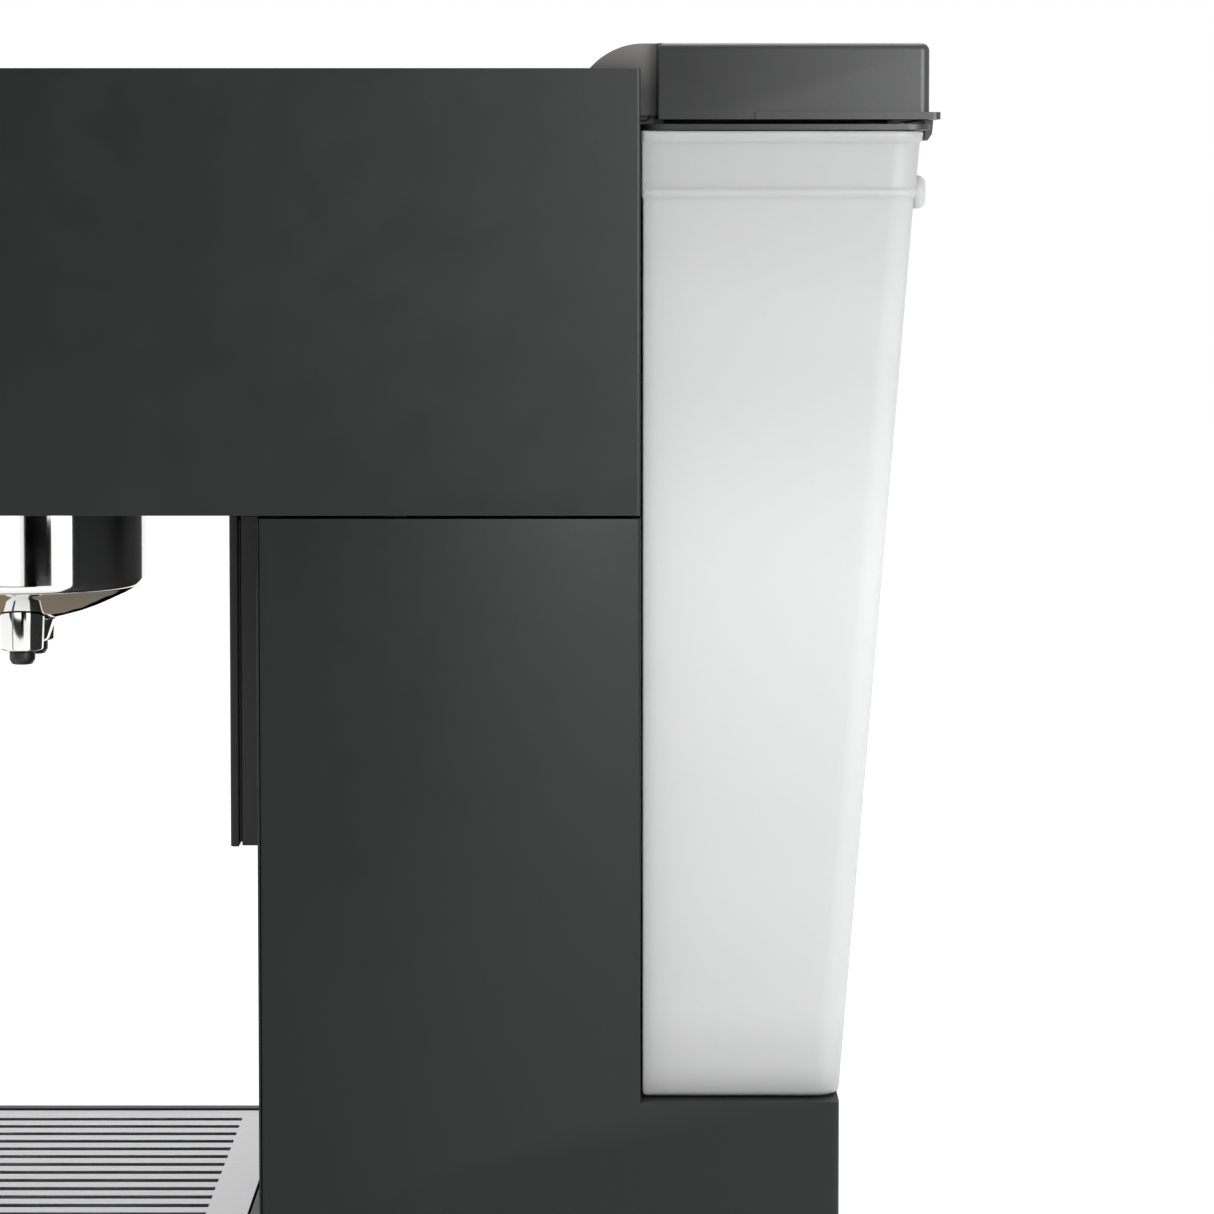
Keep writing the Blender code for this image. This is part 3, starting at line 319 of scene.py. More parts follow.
def raise_surface(material, value, depth):
    """Bump the surface by up to depth millimetres."""
    bump = material.node_tree.nodes.new("ShaderNodeBump")
    bump.inputs["Strength"].default_value = 1.0
    bump.inputs["Distance"].default_value = depth * MM
    material.node_tree.links.new(value, bump.inputs["Height"])
    material.node_tree.links.new(bump.outputs["Normal"], shader_of(material).inputs["Normal"])
    return bump


def feed(material, value, socket):
    material.node_tree.links.new(value, shader_of(material).inputs[socket])


print("finish tools ready")

# %% [markdown]
# ## Moulded plastic
# The housing is injection-moulded in a dark grey with a faint green cast. The mould is spark
# eroded, which leaves a fine matte grain. The grain is a noise of about half a millimetre, and a
# much larger noise shifts the colour and the roughness by a few percent, because no moulding
# cools evenly. The same recipe, with other colours and roughness, makes the lid and the black
# parts. The column and the base are the housing's plastic with a weaker sheen: a painted shade
# that holds them down where the pale floor lights their foot.


# %% Moulded plastics
def moulded(name, dark, light, roughness, grain=0.45, depth=0.012, sheen=0.5):
    """Spark-eroded plastic between two close colours."""
    material = new_finish(name, dark, roughness)
    shader_of(material).inputs["Specular IOR Level"].default_value = sheen
    cloud = noise_of_size(material, 60.0, detail=3.0)
    feed(material, colours_from(material, cloud, dark, light), "Base Color")
    patch = noise_of_size(material, 14.0, detail=4.0)
    feed(material, spread(material, patch, roughness - 0.04, roughness + 0.04), "Roughness")
    raise_surface(material, noise_of_size(material, grain, detail=2.0), depth)
    return material


HOUSING_DARK, HOUSING_LIGHT = (0.0075, 0.0090, 0.0088), (0.0090, 0.0106, 0.0104)
LID_DARK, LID_LIGHT = (0.017, 0.0175, 0.018), (0.020, 0.0205, 0.021)
charcoal = moulded("charcoal_housing", HOUSING_DARK, HOUSING_LIGHT, 0.42, sheen=0.36)
# Painted shade: the housing plastic again with a weaker sheen, for the column and the base.
shaded_column_charcoal = moulded("charcoal_column_painted_shade", HOUSING_DARK, HOUSING_LIGHT, 0.42, sheen=0.26)
lid_charcoal = moulded("lid_charcoal", LID_DARK, LID_LIGHT, 0.42)
satin_black = moulded("satin_black", (0.008, 0.008, 0.009), (0.011, 0.011, 0.012), 0.42, 0.35, 0.006)
gloss_black = moulded("panel_black", (0.006, 0.006, 0.007), (0.008, 0.008, 0.009), 0.16, 3.0, 0.004)
nylon = moulded("natural_nylon", (0.62, 0.61, 0.57), (0.70, 0.69, 0.65), 0.45, 0.6, 0.01)
float_red = moulded("float_red", (0.45, 0.02, 0.015), (0.52, 0.03, 0.02), 0.3, 0.8, 0.006)
print("plastics ready")

# %% [markdown]
# ## Metals
# Polished chrome is a mirror with faint smears, so only its roughness varies. Brushed steel is
# drawn through rollers, which leaves long scratches in one direction: a noise stretched far along
# one axis. Cast aluminium is pitted, and brass from a lathe is smooth with a warm tint.


# %% Metals
def polished(name, colour, low, high):
    """Mirror-bright metal with faint smears."""
    material = new_finish(name, colour, low, 1.0)
    feed(material, spread(material, noise_of_size(material, 9.0, detail=5.0), low, high), "Roughness")
    raise_surface(material, noise_of_size(material, 18.0, detail=1.0), 0.004)
    return material


def brushed(name, dark, light, roughness, along):
    """Metal with fine scratches drawn out along one axis."""
    material = new_finish(name, dark, roughness, 1.0)
    stretch = tuple(60.0 if axis == along else 1.0 for axis in "xyz")
    scratches = noise_of_size(material, 0.22, stretch, 3.0)
    feed(material, colours_from(material, scratches, dark, light), "Base Color")
    feed(material, spread(material, scratches, roughness - 0.06, roughness + 0.08), "Roughness")
    raise_surface(material, scratches, 0.005)
    return material


chrome = polished("polished_chrome", (0.80, 0.80, 0.79), 0.05, 0.08)
steel = polished("drawn_steel", (0.56, 0.56, 0.57), 0.18, 0.28)
sheet_steel = brushed("brushed_sheet", (0.42, 0.42, 0.43), (0.58, 0.58, 0.59), 0.30, "y")
brass = polished("turned_brass", (0.62, 0.46, 0.20), 0.22, 0.34)
dull_steel = brushed("pressed_steel", (0.36, 0.36, 0.37), (0.46, 0.46, 0.47), 0.36, "x")
aluminium = new_finish("cast_aluminium", (0.46, 0.46, 0.48), 0.5, 1.0)
feed(aluminium, spread(aluminium, noise_of_size(aluminium, 2.5), 0.42, 0.6), "Roughness")
raise_surface(aluminium, noise_of_size(aluminium, 1.1, detail=6.0), 0.05)
print("metals ready")

# %% [markdown]
# ## Frosted tank plastic
# The tank is moulded in a milky plastic that scatters the light passing through it, so its whole
# wall glows while the shapes inside are only hinted at. Part of the light goes through, which is
# transmission with a high roughness; part wanders inside the wall, which is subsurface
# scattering. Its grey follows the height on the tank, in real millimetres, and is painted darker at
# the foot, where the floor and the valve sit behind it, and in the rim: painted shade, which in the
# thick rim stands partly for the thicker wall.


# %% Frosted tank plastic, silicone, rubber and board
def painted_shade_by_height(material, stops):
    """Painted shade: a grey that changes with height; each stop is a height in millimetres and a grey."""
    nodes, links = material.node_tree.nodes, material.node_tree.links
    low, high = stops[0][0], stops[-1][0]
    place = nodes.new("ShaderNodeTexCoord")
    split = nodes.new("ShaderNodeSeparateXYZ")
    share = nodes.new("ShaderNodeMapRange")
    share.inputs["From Min"].default_value = low * MM
    share.inputs["From Max"].default_value = high * MM
    ramp = nodes.new("ShaderNodeValToRGB")
    ramp.color_ramp.interpolation = "EASE"
    while len(ramp.color_ramp.elements) < len(stops):
        ramp.color_ramp.elements.new(1.0)
    for element, (height, grey) in zip(ramp.color_ramp.elements, stops):
        element.position = (height - low) / (high - low)
        element.color = (grey, grey * 1.006, grey * 1.006, 1.0)
    links.new(place.outputs["Object"], split.inputs["Vector"])
    links.new(split.outputs["Z"], share.inputs["Value"])
    links.new(share.outputs["Result"], ramp.inputs["Fac"])
    return ramp.outputs["Color"]


# Painted shade on the tank: darker at the foot and in the rim, by height.
TANK_PAINTED_SHADE = [(70, 0.47), (80, 0.56), (93, 0.62), (130, 0.64), (200, 0.68), (262, 0.58), (296, 0.52),
              (299, 0.46), (335, 0.46)]
frosted = new_finish("frosted_tank", (0.62, 0.63, 0.63), 0.5)
feed(frosted, painted_shade_by_height(frosted, TANK_PAINTED_SHADE), "Base Color")
shader_of(frosted).inputs["Transmission Weight"].default_value = 0.3
shader_of(frosted).inputs["Subsurface Weight"].default_value = 0.5
shader_of(frosted).inputs["Subsurface Radius"].default_value = (1.0, 1.0, 1.0)
shader_of(frosted).inputs["Subsurface Scale"].default_value = 0.006
shader_of(frosted).inputs["IOR"].default_value = 1.45
feed(frosted, spread(frosted, noise_of_size(frosted, 22.0, detail=3.0), 0.46, 0.54), "Roughness")
raise_surface(frosted, noise_of_size(frosted, 0.8, detail=3.0), 0.01)

silicone = new_finish("silicone_hose", (0.72, 0.73, 0.70), 0.42)
shader_of(silicone).inputs["Transmission Weight"].default_value = 0.3
raise_surface(silicone, noise_of_size(silicone, 4.0), 0.02)
rubber = moulded("foot_rubber", (0.010, 0.010, 0.010), (0.016, 0.016, 0.016), 0.82, 0.7, 0.03)
board_green = moulded("board_green", (0.010, 0.075, 0.035), (0.02, 0.12, 0.055), 0.38, 1.6, 0.03)
print("tank plastic and soft finishes ready")

# %% [markdown]
# ## Finishes for the works
# Pumps, valves, hoses and boards sit inside the housing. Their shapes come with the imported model
# and only need their finish, so one table names it for each.

# %% Finish the inner pieces
WORKS = {
    satin_black: ["brew_valve", "vibration_pump", "tank_socket", "lid_hinge_pin"],
    charcoal: ["head_floor"],
    nylon: ["tank_valve_body", "valve_cage", "thermostat", "pressure_hose"],
    rubber: ["spigot_seal", "group_gasket", "pump_mount_lower", "pump_mount_upper"],
    brass: ["valve_plunger", "steam_spindle", "steam_valve"],
    steel: ["valve_spring", "screen_screw", "steam_pipe", "steam_feed_pipe", "pump_piston",
            "wand_ball"],
    dull_steel: ["filter_basket", "shower_screen"],
    aluminium: ["group_head", "thermoblock"],
    silicone: ["suction_hose"],
    board_green: ["control_board", "power_board"],
    float_red: ["tray_float"],
}


def give_finish(thing, finish):
    """Put one finish on an object."""
    thing.data.materials.clear()
    thing.data.materials.append(finish)


for finish, names in WORKS.items():
    for name in names:
        give_finish(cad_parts[name], finish)
print("inner pieces finished:", sum(len(names) for names in WORKS.values()))

# %% [markdown]
# ## Making pieces
# Outer pieces get finer meshes of their own. Each starts as a mesh worked out in millimetres,
# then it is scaled to metres, shaded smooth across gentle edges, made to ride on the body that
# moves it, and the imported nodes it replaces are hidden. Rounded edges are a live Bevel whose
# normals are hardened, so that flat faces stay flat and only the edge catches light.


# %% Put a piece in the scene
def add_piece(name, bm, finish, body, nodes=(), edge=0.0, segments=3, smooth=35):
    """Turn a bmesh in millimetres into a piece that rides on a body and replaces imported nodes."""
    bmesh.ops.scale(bm, vec=(MM, MM, MM), verts=bm.verts)
    bmesh.ops.recalc_face_normals(bm, faces=bm.faces)
    mesh = bpy.data.meshes.new(name)
    bm.to_mesh(mesh)
    bm.free()
    piece = bpy.data.objects.new(name, mesh)
    bpy.context.scene.collection.objects.link(piece)
    give_finish(piece, finish)
    mesh.shade_smooth()
    mesh.set_sharp_from_angle(angle=math.radians(smooth))
    if edge:
        bevel = piece.modifiers.new("soft_edges", "BEVEL")
        bevel.width = edge * MM
        bevel.segments = segments
        bevel.limit_method = "ANGLE"
        bevel.angle_limit = math.radians(smooth)
        bevel.harden_normals = True
    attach(piece, body)
    if nodes:
        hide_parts(*nodes)
    return piece


def corners_of(node):
    """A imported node's lowest and highest corner in millimetres."""
    low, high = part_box(node)
    return low / MM, high / MM


print("the head spans", [round(v, 1) for v in corners_of("head_shell")[1] - corners_of("head_shell")[0]])

# %% [markdown]
# ## Shapes for moulded pieces
# Two kinds of blank make the moulded pieces: a block, and a side outline drawn out across the
# machine. Their upright edges can be rounded, all of them or only those that pass a test.


# %% Blocks, outlines and cuts
def block(low, high):
    """A plain block between two corners."""
    bm = bmesh.new()
    bmesh.ops.create_cube(bm, size=1.0)
    bmesh.ops.scale(bm, vec=Vector(high) - Vector(low), verts=bm.verts)
    bmesh.ops.translate(bm, vec=(Vector(high) + Vector(low)) / 2, verts=bm.verts)
    return bm


def round_upright_corners(bm, radius, segments=8, chosen=lambda point: True):
    """Round the vertical edges whose middle passes a test."""
    edges = []
    for edge in bm.edges:
        a, b = (vert.co for vert in edge.verts)
        if abs(a.x - b.x) + abs(a.y - b.y) < 1e-4 and chosen((a + b) / 2):
            edges.append(edge)
    bmesh.ops.bevel(bm, geom=edges, offset=radius, offset_type="OFFSET", segments=segments, profile=0.5,
                    affect="EDGES")
    return bm


def drawn_across(outline, x_low, x_high):
    """A (y, z) outline drawn out across the machine."""
    bm = bmesh.new()
    face = bm.faces.new([bm.verts.new((x_low, y, z)) for y, z in outline])
    grown = bmesh.ops.extrude_face_region(bm, geom=[face])
    moved = [item for item in grown["geom"] if isinstance(item, bmesh.types.BMVert)]
    bmesh.ops.translate(bm, vec=(x_high - x_low, 0, 0), verts=moved)
    bmesh.ops.recalc_face_normals(bm, faces=bm.faces)
    return bm


print("block and outline tools ready")

# %% [markdown]
# ## Cutting and joining
# Openings are cut, and separate lumps are joined, by an exact Boolean. It needs objects, so a
# shape is put in the scene for a moment, worked, and taken away again. The result comes back as a
# plain mesh, and flat faces that the cut leaves in slivers are merged.


# %% Cuts and joins
def loose_object(bm, name):
    """A throwaway object that only a cut needs."""
    mesh = bpy.data.meshes.new(name)
    bmesh.ops.recalc_face_normals(bm, faces=bm.faces)
    bm.to_mesh(mesh)
    bm.free()
    holder = bpy.data.objects.new(name, mesh)
    bpy.context.scene.collection.objects.link(holder)
    return holder


def worked(bm, operation, others):
    """Cut other shapes from a shape, or join them to it, and hand back the result."""
    base = loose_object(bm, "blank")
    tools = [loose_object(other, "tool") for other in others]
    for tool in tools:
        step = base.modifiers.new("step", "BOOLEAN")
        step.operation = operation
        step.solver = "EXACT"
        step.object = tool
    graph = bpy.context.evaluated_depsgraph_get()
    mesh = bpy.data.meshes.new_from_object(base.evaluated_get(graph))
    for holder in [base, *tools]:
        bpy.data.objects.remove(holder, do_unlink=True)
    result = bmesh.new()
    result.from_mesh(mesh)
    bmesh.ops.remove_doubles(result, verts=result.verts, dist=0.0005)
    bmesh.ops.dissolve_limit(result, angle_limit=0.004, verts=result.verts, edges=result.edges)
    bpy.data.meshes.remove(mesh)
    return result


def cut_from(bm, *tools):
    return worked(bm, "DIFFERENCE", tools)


def joined_to(bm, *tools):
    return worked(bm, "UNION", tools)


print("cut and join tools ready")

# %% [markdown]
# ## Shapes for turned pieces
# Round pieces are spun from half a profile, as on a lathe. A helper eases the profile's corners
# first, because a real turned or pressed edge always has a small radius, and that radius is what
# draws the bright line round a chrome piece. Another helper gives the points of an arc.


# %% Turned shapes
def eased(points, radius, steps=4):
    """Replace each inner corner of a profile by a small curve."""
    path = [Vector(points[0])]
    for before, corner, after in zip(points, points[1:], points[2:]):
        before, corner, after = Vector(before), Vector(corner), Vector(after)
        reach = min(radius, 0.45 * (before - corner).length, 0.45 * (after - corner).length)
        start = corner + (before - corner).normalized() * reach
        end = corner + (after - corner).normalized() * reach
        for step in range(steps + 1):
            t = step / steps
            path.append(start * (1 - t) ** 2 + corner * (2 * t * (1 - t)) + end * t ** 2)
    path.append(Vector(points[-1]))
    return path


def arc(centre_y, centre_z, radius, start, end, count=16):
    """Points on an arc in the side view, angles in degrees from the rear upwards."""
    points = []
    for i in range(count + 1):
        angle = math.radians(start + (end - start) * i / count)
        points.append((centre_y + radius * math.cos(angle), centre_z + radius * math.sin(angle)))
    return points


def lathe(profile, centre=(0, 0, 0), axis=(0, 0, 1), steps=96):
    """Spin (radius, height) points about an axis through centre."""
    bm = bmesh.new()
    verts = [bm.verts.new((point[0], 0, point[1])) for point in profile]
    edges = [bm.edges.new(pair) for pair in zip(verts, verts[1:])]
    if profile[0][0] > 0.001 or profile[-1][0] > 0.001:
        edges.append(bm.edges.new((verts[-1], verts[0])))
    bmesh.ops.spin(bm, geom=verts + edges, cent=(0, 0, 0), axis=(0, 0, 1), angle=2 * math.pi, steps=steps,
                   use_merge=True)
    bmesh.ops.remove_doubles(bm, verts=bm.verts, dist=0.0005)
    turn = Vector((0, 0, 1)).rotation_difference(Vector(axis)).to_matrix().to_4x4()
    bmesh.ops.transform(bm, matrix=Matrix.Translation(centre) @ turn, verts=bm.verts)
    bmesh.ops.recalc_face_normals(bm, faces=bm.faces)
    return bm


def bar(start, end, radius, segments=48):
    """A round bar between two points."""
    start, end = Vector(start), Vector(end)
    turn = Vector((0, 0, 1)).rotation_difference((end - start).normalized()).to_matrix().to_4x4()
    bm = bmesh.new()
    bmesh.ops.create_cone(bm, cap_ends=True, segments=segments, radius1=radius, radius2=radius,
                          depth=(end - start).length, matrix=Matrix.Translation((start + end) / 2) @ turn)
    return bm


print("turning tools ready")

# %% [markdown]
# ## Body shell
# The column and the ledge behind it are one moulding, seen as one unbroken dark side. It is drawn
# as an L in the side view and extruded across. The upright corners get their own radii, smallest
# next to the tank, and every other edge a small one. The inside is cut away to a 3 mm wall, with a
# hole in the ledge for the tank's valve.

# %% Build the body shell
shell_low, shell_high = corners_of("body_shell")
LEDGE_TOP = 70.0
COLUMN_REAR = 119.0
WALL = 3.0

side_l = [(shell_low.y, shell_low.z), (shell_high.y, shell_low.z), (shell_high.y, LEDGE_TOP),
          (COLUMN_REAR, LEDGE_TOP), (COLUMN_REAR, shell_high.z), (shell_low.y, shell_high.z)]
shell = drawn_across(side_l, shell_low.x, shell_high.x)
round_upright_corners(shell, 1.6, 6, lambda p: p.y < 50)
round_upright_corners(shell, 0.7, 4, lambda p: p.y < 130 and p.z > 100)
round_upright_corners(shell, 1.8, 6, lambda p: p.y > 165 and abs(p.x) > 69)
inner_l = [(shell_low.y + WALL, 20), (shell_high.y - WALL, 20), (shell_high.y - WALL, LEDGE_TOP - WALL),
           (COLUMN_REAR - WALL, LEDGE_TOP - WALL), (COLUMN_REAR - WALL, 230), (shell_low.y + WALL, 230)]
hollow = drawn_across(inner_l, shell_low.x + WALL, shell_high.x - WALL)
valve_y = sum(v.y for v in corners_of("tank_socket")) / 2
valve_hole = bar((0, valve_y, 60), (0, valve_y, 80), 13.3)
shell = cut_from(shell, hollow, valve_hole)
add_piece("body_moulding", shell, shaded_column_charcoal, "chassis", ["body_shell"], edge=0.5,
          smooth=50)
print("body shell, millimetres:", [round(v, 1) for v in shell_high - shell_low])

# %% [markdown]
# ## Head shell
# The head is a long box with a rounded front top edge. Behind, it has a concave channel in which
# the lid's round nose turns; on top, a shallow pocket for the warming plate; in front, a window
# for the controls. Drawing the side outline first gives the round front edge for nothing, and the
# rest is cut. The room inside has the same round edge, so the wall is as thick there as elsewhere.
# Its rear is drawn out almost level with the column's, which closes the gap beside the tank.

# %% Build the head shell
head_low, head_high = corners_of("head_shell")
hinge_low, hinge_high = corners_of("lid_hinge_pin")
hinge_y = (hinge_low.y + hinge_high.y) / 2
hinge_z = (hinge_low.z + hinge_high.z) / 2
NOSE_RADIUS = 17.9
CHANNEL_RADIUS = NOSE_RADIUS + 0.8
FRONT_ROUNDING = 13.0
CHANNEL_HALF = 66.5
WINDOW_HALF, WINDOW_LOW, WINDOW_HIGH = 58.0, 242.0, 314.0

HEAD_REAR = COLUMN_REAR - 0.1
head_side = [(HEAD_REAR, head_low.z), (HEAD_REAR, head_high.z)]
head_side += arc(head_low.y + FRONT_ROUNDING, head_high.z - FRONT_ROUNDING, FRONT_ROUNDING, 90, 180, 14)
head_side += [(head_low.y, head_low.z)]
head = drawn_across(head_side, head_low.x, head_high.x)
round_upright_corners(head, 0.8, 6, lambda p: p.y > 100)
round_upright_corners(head, 2.0, 6, lambda p: p.y < -80)


def channel(grow, half, far=4.0):
    """The channel's cutter: straight above the hinge, round below it."""
    radius = CHANNEL_RADIUS + grow
    outline = [(hinge_y + far, head_high.z + 3), (hinge_y - radius, head_high.z + 3)]
    outline += arc(hinge_y, hinge_z, radius, 180, 270, 24)
    outline += [(hinge_y + far, hinge_z - radius)]
    return drawn_across(outline, -half, half)


inner_side = [(head_high.y - WALL, head_low.z - 5), (head_high.y - WALL, head_high.z - WALL)]
inner_side += arc(head_low.y + FRONT_ROUNDING, head_high.z - FRONT_ROUNDING, FRONT_ROUNDING - WALL,
                  90, 180, 14)
inner_side += [(head_low.y + WALL, head_low.z - 5)]
cavity = drawn_across(inner_side, -CHANNEL_HALF, CHANNEL_HALF)
cavity = cut_from(cavity, channel(WALL, 72))
window = block((-WINDOW_HALF, head_low.y - 5, WINDOW_LOW), (WINDOW_HALF, head_low.y + 6, WINDOW_HIGH))
plate_low, plate_high = corners_of("cup_warming_plate")
pocket = block(plate_low - Vector((0.4, 0.4, 0.3)), plate_high + Vector((0.4, 0.4, 5)))
round_upright_corners(pocket, 8.0)
head = cut_from(head, cavity, channel(0.0, CHANNEL_HALF), window, pocket)
add_piece("head_moulding", head, charcoal, "chassis", ["head_shell"], edge=0.6, smooth=40)
print("head shell, millimetres:", [round(v, 1) for v in head_high - head_low])

# %% [markdown]
# ## Splash panel
# Under the head a narrow panel stands proud of the column's front. It is a black carrier with a
# thin charcoal face, and a fine groove between them that reads as a dark line from the side. Two
# blocks with rounded upright corners, one a little narrower, give that groove.

# %% Build the splash panel
splash_low, splash_high = corners_of("splash_panel")
FACE = 2.2
GROOVE = 0.7
face_plate = block(splash_low, (splash_high.x, splash_low.y + FACE, splash_high.z))
round_upright_corners(face_plate, 0.9, 5, lambda p: p.y < splash_low.y + 1)
carrier = block((splash_low.x + 0.4, splash_low.y + FACE + GROOVE, splash_low.z + 0.2),
                (splash_high.x - 0.4, splash_high.y, splash_high.z))
spine = block(splash_low + Vector((2, 1, 1)), splash_high - Vector((2, 1, 1)))
carrier = joined_to(carrier, spine)
add_piece("splash_face", face_plate, charcoal, "chassis", [], edge=0.25, smooth=50)
add_piece("splash_carrier", carrier, satin_black, "chassis", ["splash_panel"],
          edge=0.3, smooth=50)
print("splash panel stands", round(shell_low.y - splash_low.y, 1), "mm proud")

# %% [markdown]
# ## Base, tray, grid and panel
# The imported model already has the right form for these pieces, only with hard edges. A fresh copy
# of that form is welded, its coplanar triangles merged into whole faces, and every hard edge
# rounded, which is enough for a moulded tub or a punched sheet.


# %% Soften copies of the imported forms
def softened(name, node, finish, body, edge, segments=3):
    """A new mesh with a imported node's form and rounded edges."""
    bm = bmesh.new()
    bm.from_mesh(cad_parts[node].data)
    bmesh.ops.scale(bm, vec=(1 / MM, 1 / MM, 1 / MM), verts=bm.verts)
    bmesh.ops.remove_doubles(bm, verts=bm.verts, dist=0.002)
    bmesh.ops.dissolve_limit(bm, angle_limit=0.01, verts=bm.verts, edges=bm.edges)
    return add_piece(name, bm, finish, body, [node], edge, segments, smooth=35)


softened("base_moulding", "base_housing", shaded_column_charcoal, "chassis", 0.8)
softened("drip_tray_moulding", "drip_tray", lid_charcoal, "drip_tray", 0.7)
softened("drip_grid_sheet", "drip_grid", sheet_steel, "drip_grid", 0.35, 2)
softened("warming_plate", "cup_warming_plate", sheet_steel, "chassis", 0.25, 2)
softened("control_fascia", "control_panel", gloss_black, "chassis", 0.4)
print("softened copies ready")

# %% [markdown]
# ## Tank walls
# The tank is a deep box with rounded corners whose sides and rear lean outwards, so that it draws
# from its mould. It is lofted: rounded rectangles at a list of heights are joined by walls, up the
# outside, over the rolled rim and down the inside. A small step near the top, where the wall
# thickens for the rim, shows as a bright line.


# %% Loft the tank
TANK_FRONT = 119.15
FOOT_HALF, MOUTH_HALF = 65.0, 66.0
FOOT_REAR, MOUTH_REAR = 169.8, 189.2
TANK_FOOT, TANK_MOUTH = 70.3, 313.5
FRONT_CORNER, REAR_CORNER = 0.5, 7.0


def tank_ring(height, inset, arc_steps=8):
    """A rounded rectangle on the tank's wall at a height, moved inwards by inset."""
    share = (height - TANK_FOOT) / (TANK_MOUTH - TANK_FOOT)
    half = FOOT_HALF + (MOUTH_HALF - FOOT_HALF) * share - inset
    rear = FOOT_REAR + (MOUTH_REAR - FOOT_REAR) * share - inset
    front = TANK_FRONT + max(0.0, inset)
    behind, ahead = max(1.0, REAR_CORNER - inset), max(0.4, FRONT_CORNER - inset)
    ring = []
    for cx, cy, corner, start in ((half - behind, rear - behind, behind, 0),
                                  (-half + behind, rear - behind, behind, 90),
                                  (-half + ahead, front + ahead, ahead, 180),
                                  (half - ahead, front + ahead, ahead, 270)):
        for i in range(arc_steps + 1):
            angle = math.radians(start + 90 * i / arc_steps)
            ring.append(Vector((cx + corner * math.cos(angle), cy + corner * math.sin(angle), height)))
    return ring


def lofted(rings):
    """Walls between rings, closed from the last ring back to the first by two floors."""
    bm = bmesh.new()
    loops = [[bm.verts.new(point) for point in ring] for ring in rings]
    for lower, upper in zip(loops, loops[1:]):
        for i in range(len(lower)):
            j = (i + 1) % len(lower)
            bm.faces.new((lower[i], lower[j], upper[j], upper[i]))
    bm.faces.new(loops[0])
    bm.faces.new(loops[-1])
    bmesh.ops.recalc_face_normals(bm, faces=bm.faces)
    return bm


outside = [(TANK_FOOT, 1.6), (TANK_FOOT + 0.3, 0.9), (TANK_FOOT + 0.8, 0.5), (TANK_FOOT + 1.4, 0.4)]
outside += [(TANK_FOOT + 20 * i, 0.4) for i in range(1, 12)]
outside += [(296.2, 0.4), (296.7, 0.4), (297.1, 0.15), (297.6, -0.35), (298.4, -0.45), (298.9, -0.3),
            (299.3, 0.05), (300.0, 0.1), (310.2, 0.1), (310.7, 0.0), (311.1, -0.5), (312.8, -0.6),
            (313.3, -0.45), (TANK_MOUTH, 0.0)]
inside = [(TANK_MOUTH, 1.2), (313.2, 1.7), (312.4, 2.0), (300.0, 2.2), (296.0, 2.4)]
inside += [(TANK_FOOT + 20 * i, 2.4) for i in range(11, 0, -1)]
inside += [(77.0, 2.6), (74.0, 3.6), (72.8, 6.0)]
rings = [tank_ring(z, inset) for z, inset in outside + inside]
tank = cut_from(lofted(rings), bar((0, valve_y, 60), (0, valve_y, 80), 8.9))
add_piece("tank_vessel", tank, frosted, "water_tank", ["water_tank"], smooth=50)
print("tank rings:", len(rings))

# %% [markdown]
# ## Tank lug
# High on the tank's rear wall sits a small moulded knob, a stop that the hand feels when it lifts
# the tank. It is a squat turned button, welded to the wall and in the same milky plastic.

# %% Add the rear lug
lug_z = 298.3
lug_wall = FOOT_REAR + (MOUTH_REAR - FOOT_REAR) * (lug_z - TANK_FOOT) / (TANK_MOUTH - TANK_FOOT)
lug_profile = eased([(0, 2.6), (3.2, 2.6), (4.1, 1.4), (4.3, -0.6), (0, -0.6)], 0.9)
lug = lathe(lug_profile, (54.0, lug_wall, lug_z), (0, 1, 0), 48)
add_piece("tank_lug", lug, frosted, "water_tank", smooth=60)
print("lug at height", lug_z, "mm")

# %% [markdown]
# ## A paler nose
# The lid's round nose is the same dark plastic as the cap, but light that glances over the head
# leaves its upper part far paler. The studio has no lamp that does this, so the paleness is painted
# into the finish: it grows with height and stays in front of the cap. It therefore moves with the
# lid when the lid opens. A colour Mix node blends the two; its sockets are picked by number,
# because a Mix node has several with the same name.


# %% Paint a paler part
MIX_SHARE, MIX_FIRST, MIX_SECOND, MIX_RESULT = 0, 6, 7, 2


def paint_light_above(material, rear, low, high, colour):
    """Paint light into a finish: paler from a low to a high level, in front of a plane at rear only."""
    nodes, links = material.node_tree.nodes, material.node_tree.links
    place = nodes.new("ShaderNodeTexCoord")
    split = nodes.new("ShaderNodeSeparateXYZ")
    links.new(place.outputs["Object"], split.inputs["Vector"])
    shares = []
    for axis, start, end in (("Y", rear, rear - 0.3), ("Z", low, high)):
        share = nodes.new("ShaderNodeMapRange")
        share.inputs["From Min"].default_value = start * MM
        share.inputs["From Max"].default_value = end * MM
        links.new(split.outputs[axis], share.inputs["Value"])
        shares.append(share)
    both = nodes.new("ShaderNodeMath")
    both.operation = "MULTIPLY"
    for i, share in enumerate(shares):
        links.new(share.outputs["Result"], both.inputs[i])
    mix = nodes.new("ShaderNodeMix")
    mix.data_type = "RGBA"
    mix.inputs[MIX_SECOND].default_value = (*colour, 1.0)
    links.new(both.outputs["Value"], mix.inputs[MIX_SHARE])
    links.new(shader_of(material).inputs["Base Color"].links[0].from_socket, mix.inputs[MIX_FIRST])
    feed(material, mix.outputs[MIX_RESULT], "Base Color")


NOSE_PAINTED_LIGHT = (0.115, 0.112, 0.10)
print("pale nose colour", NOSE_PAINTED_LIGHT)

# %% [markdown]
# ## Collar and lid
# A thin collar clips on the tank's rim and carries the hinge. The lid is a shallow cap with a
# round nose in front, a quarter cylinder about the hinge axis, and a split lip round its foot that
# ends in a finger edge behind. The cap's top edge is well rounded, the upright ones less, so its
# side shows a crisp outline with a light line along the top.

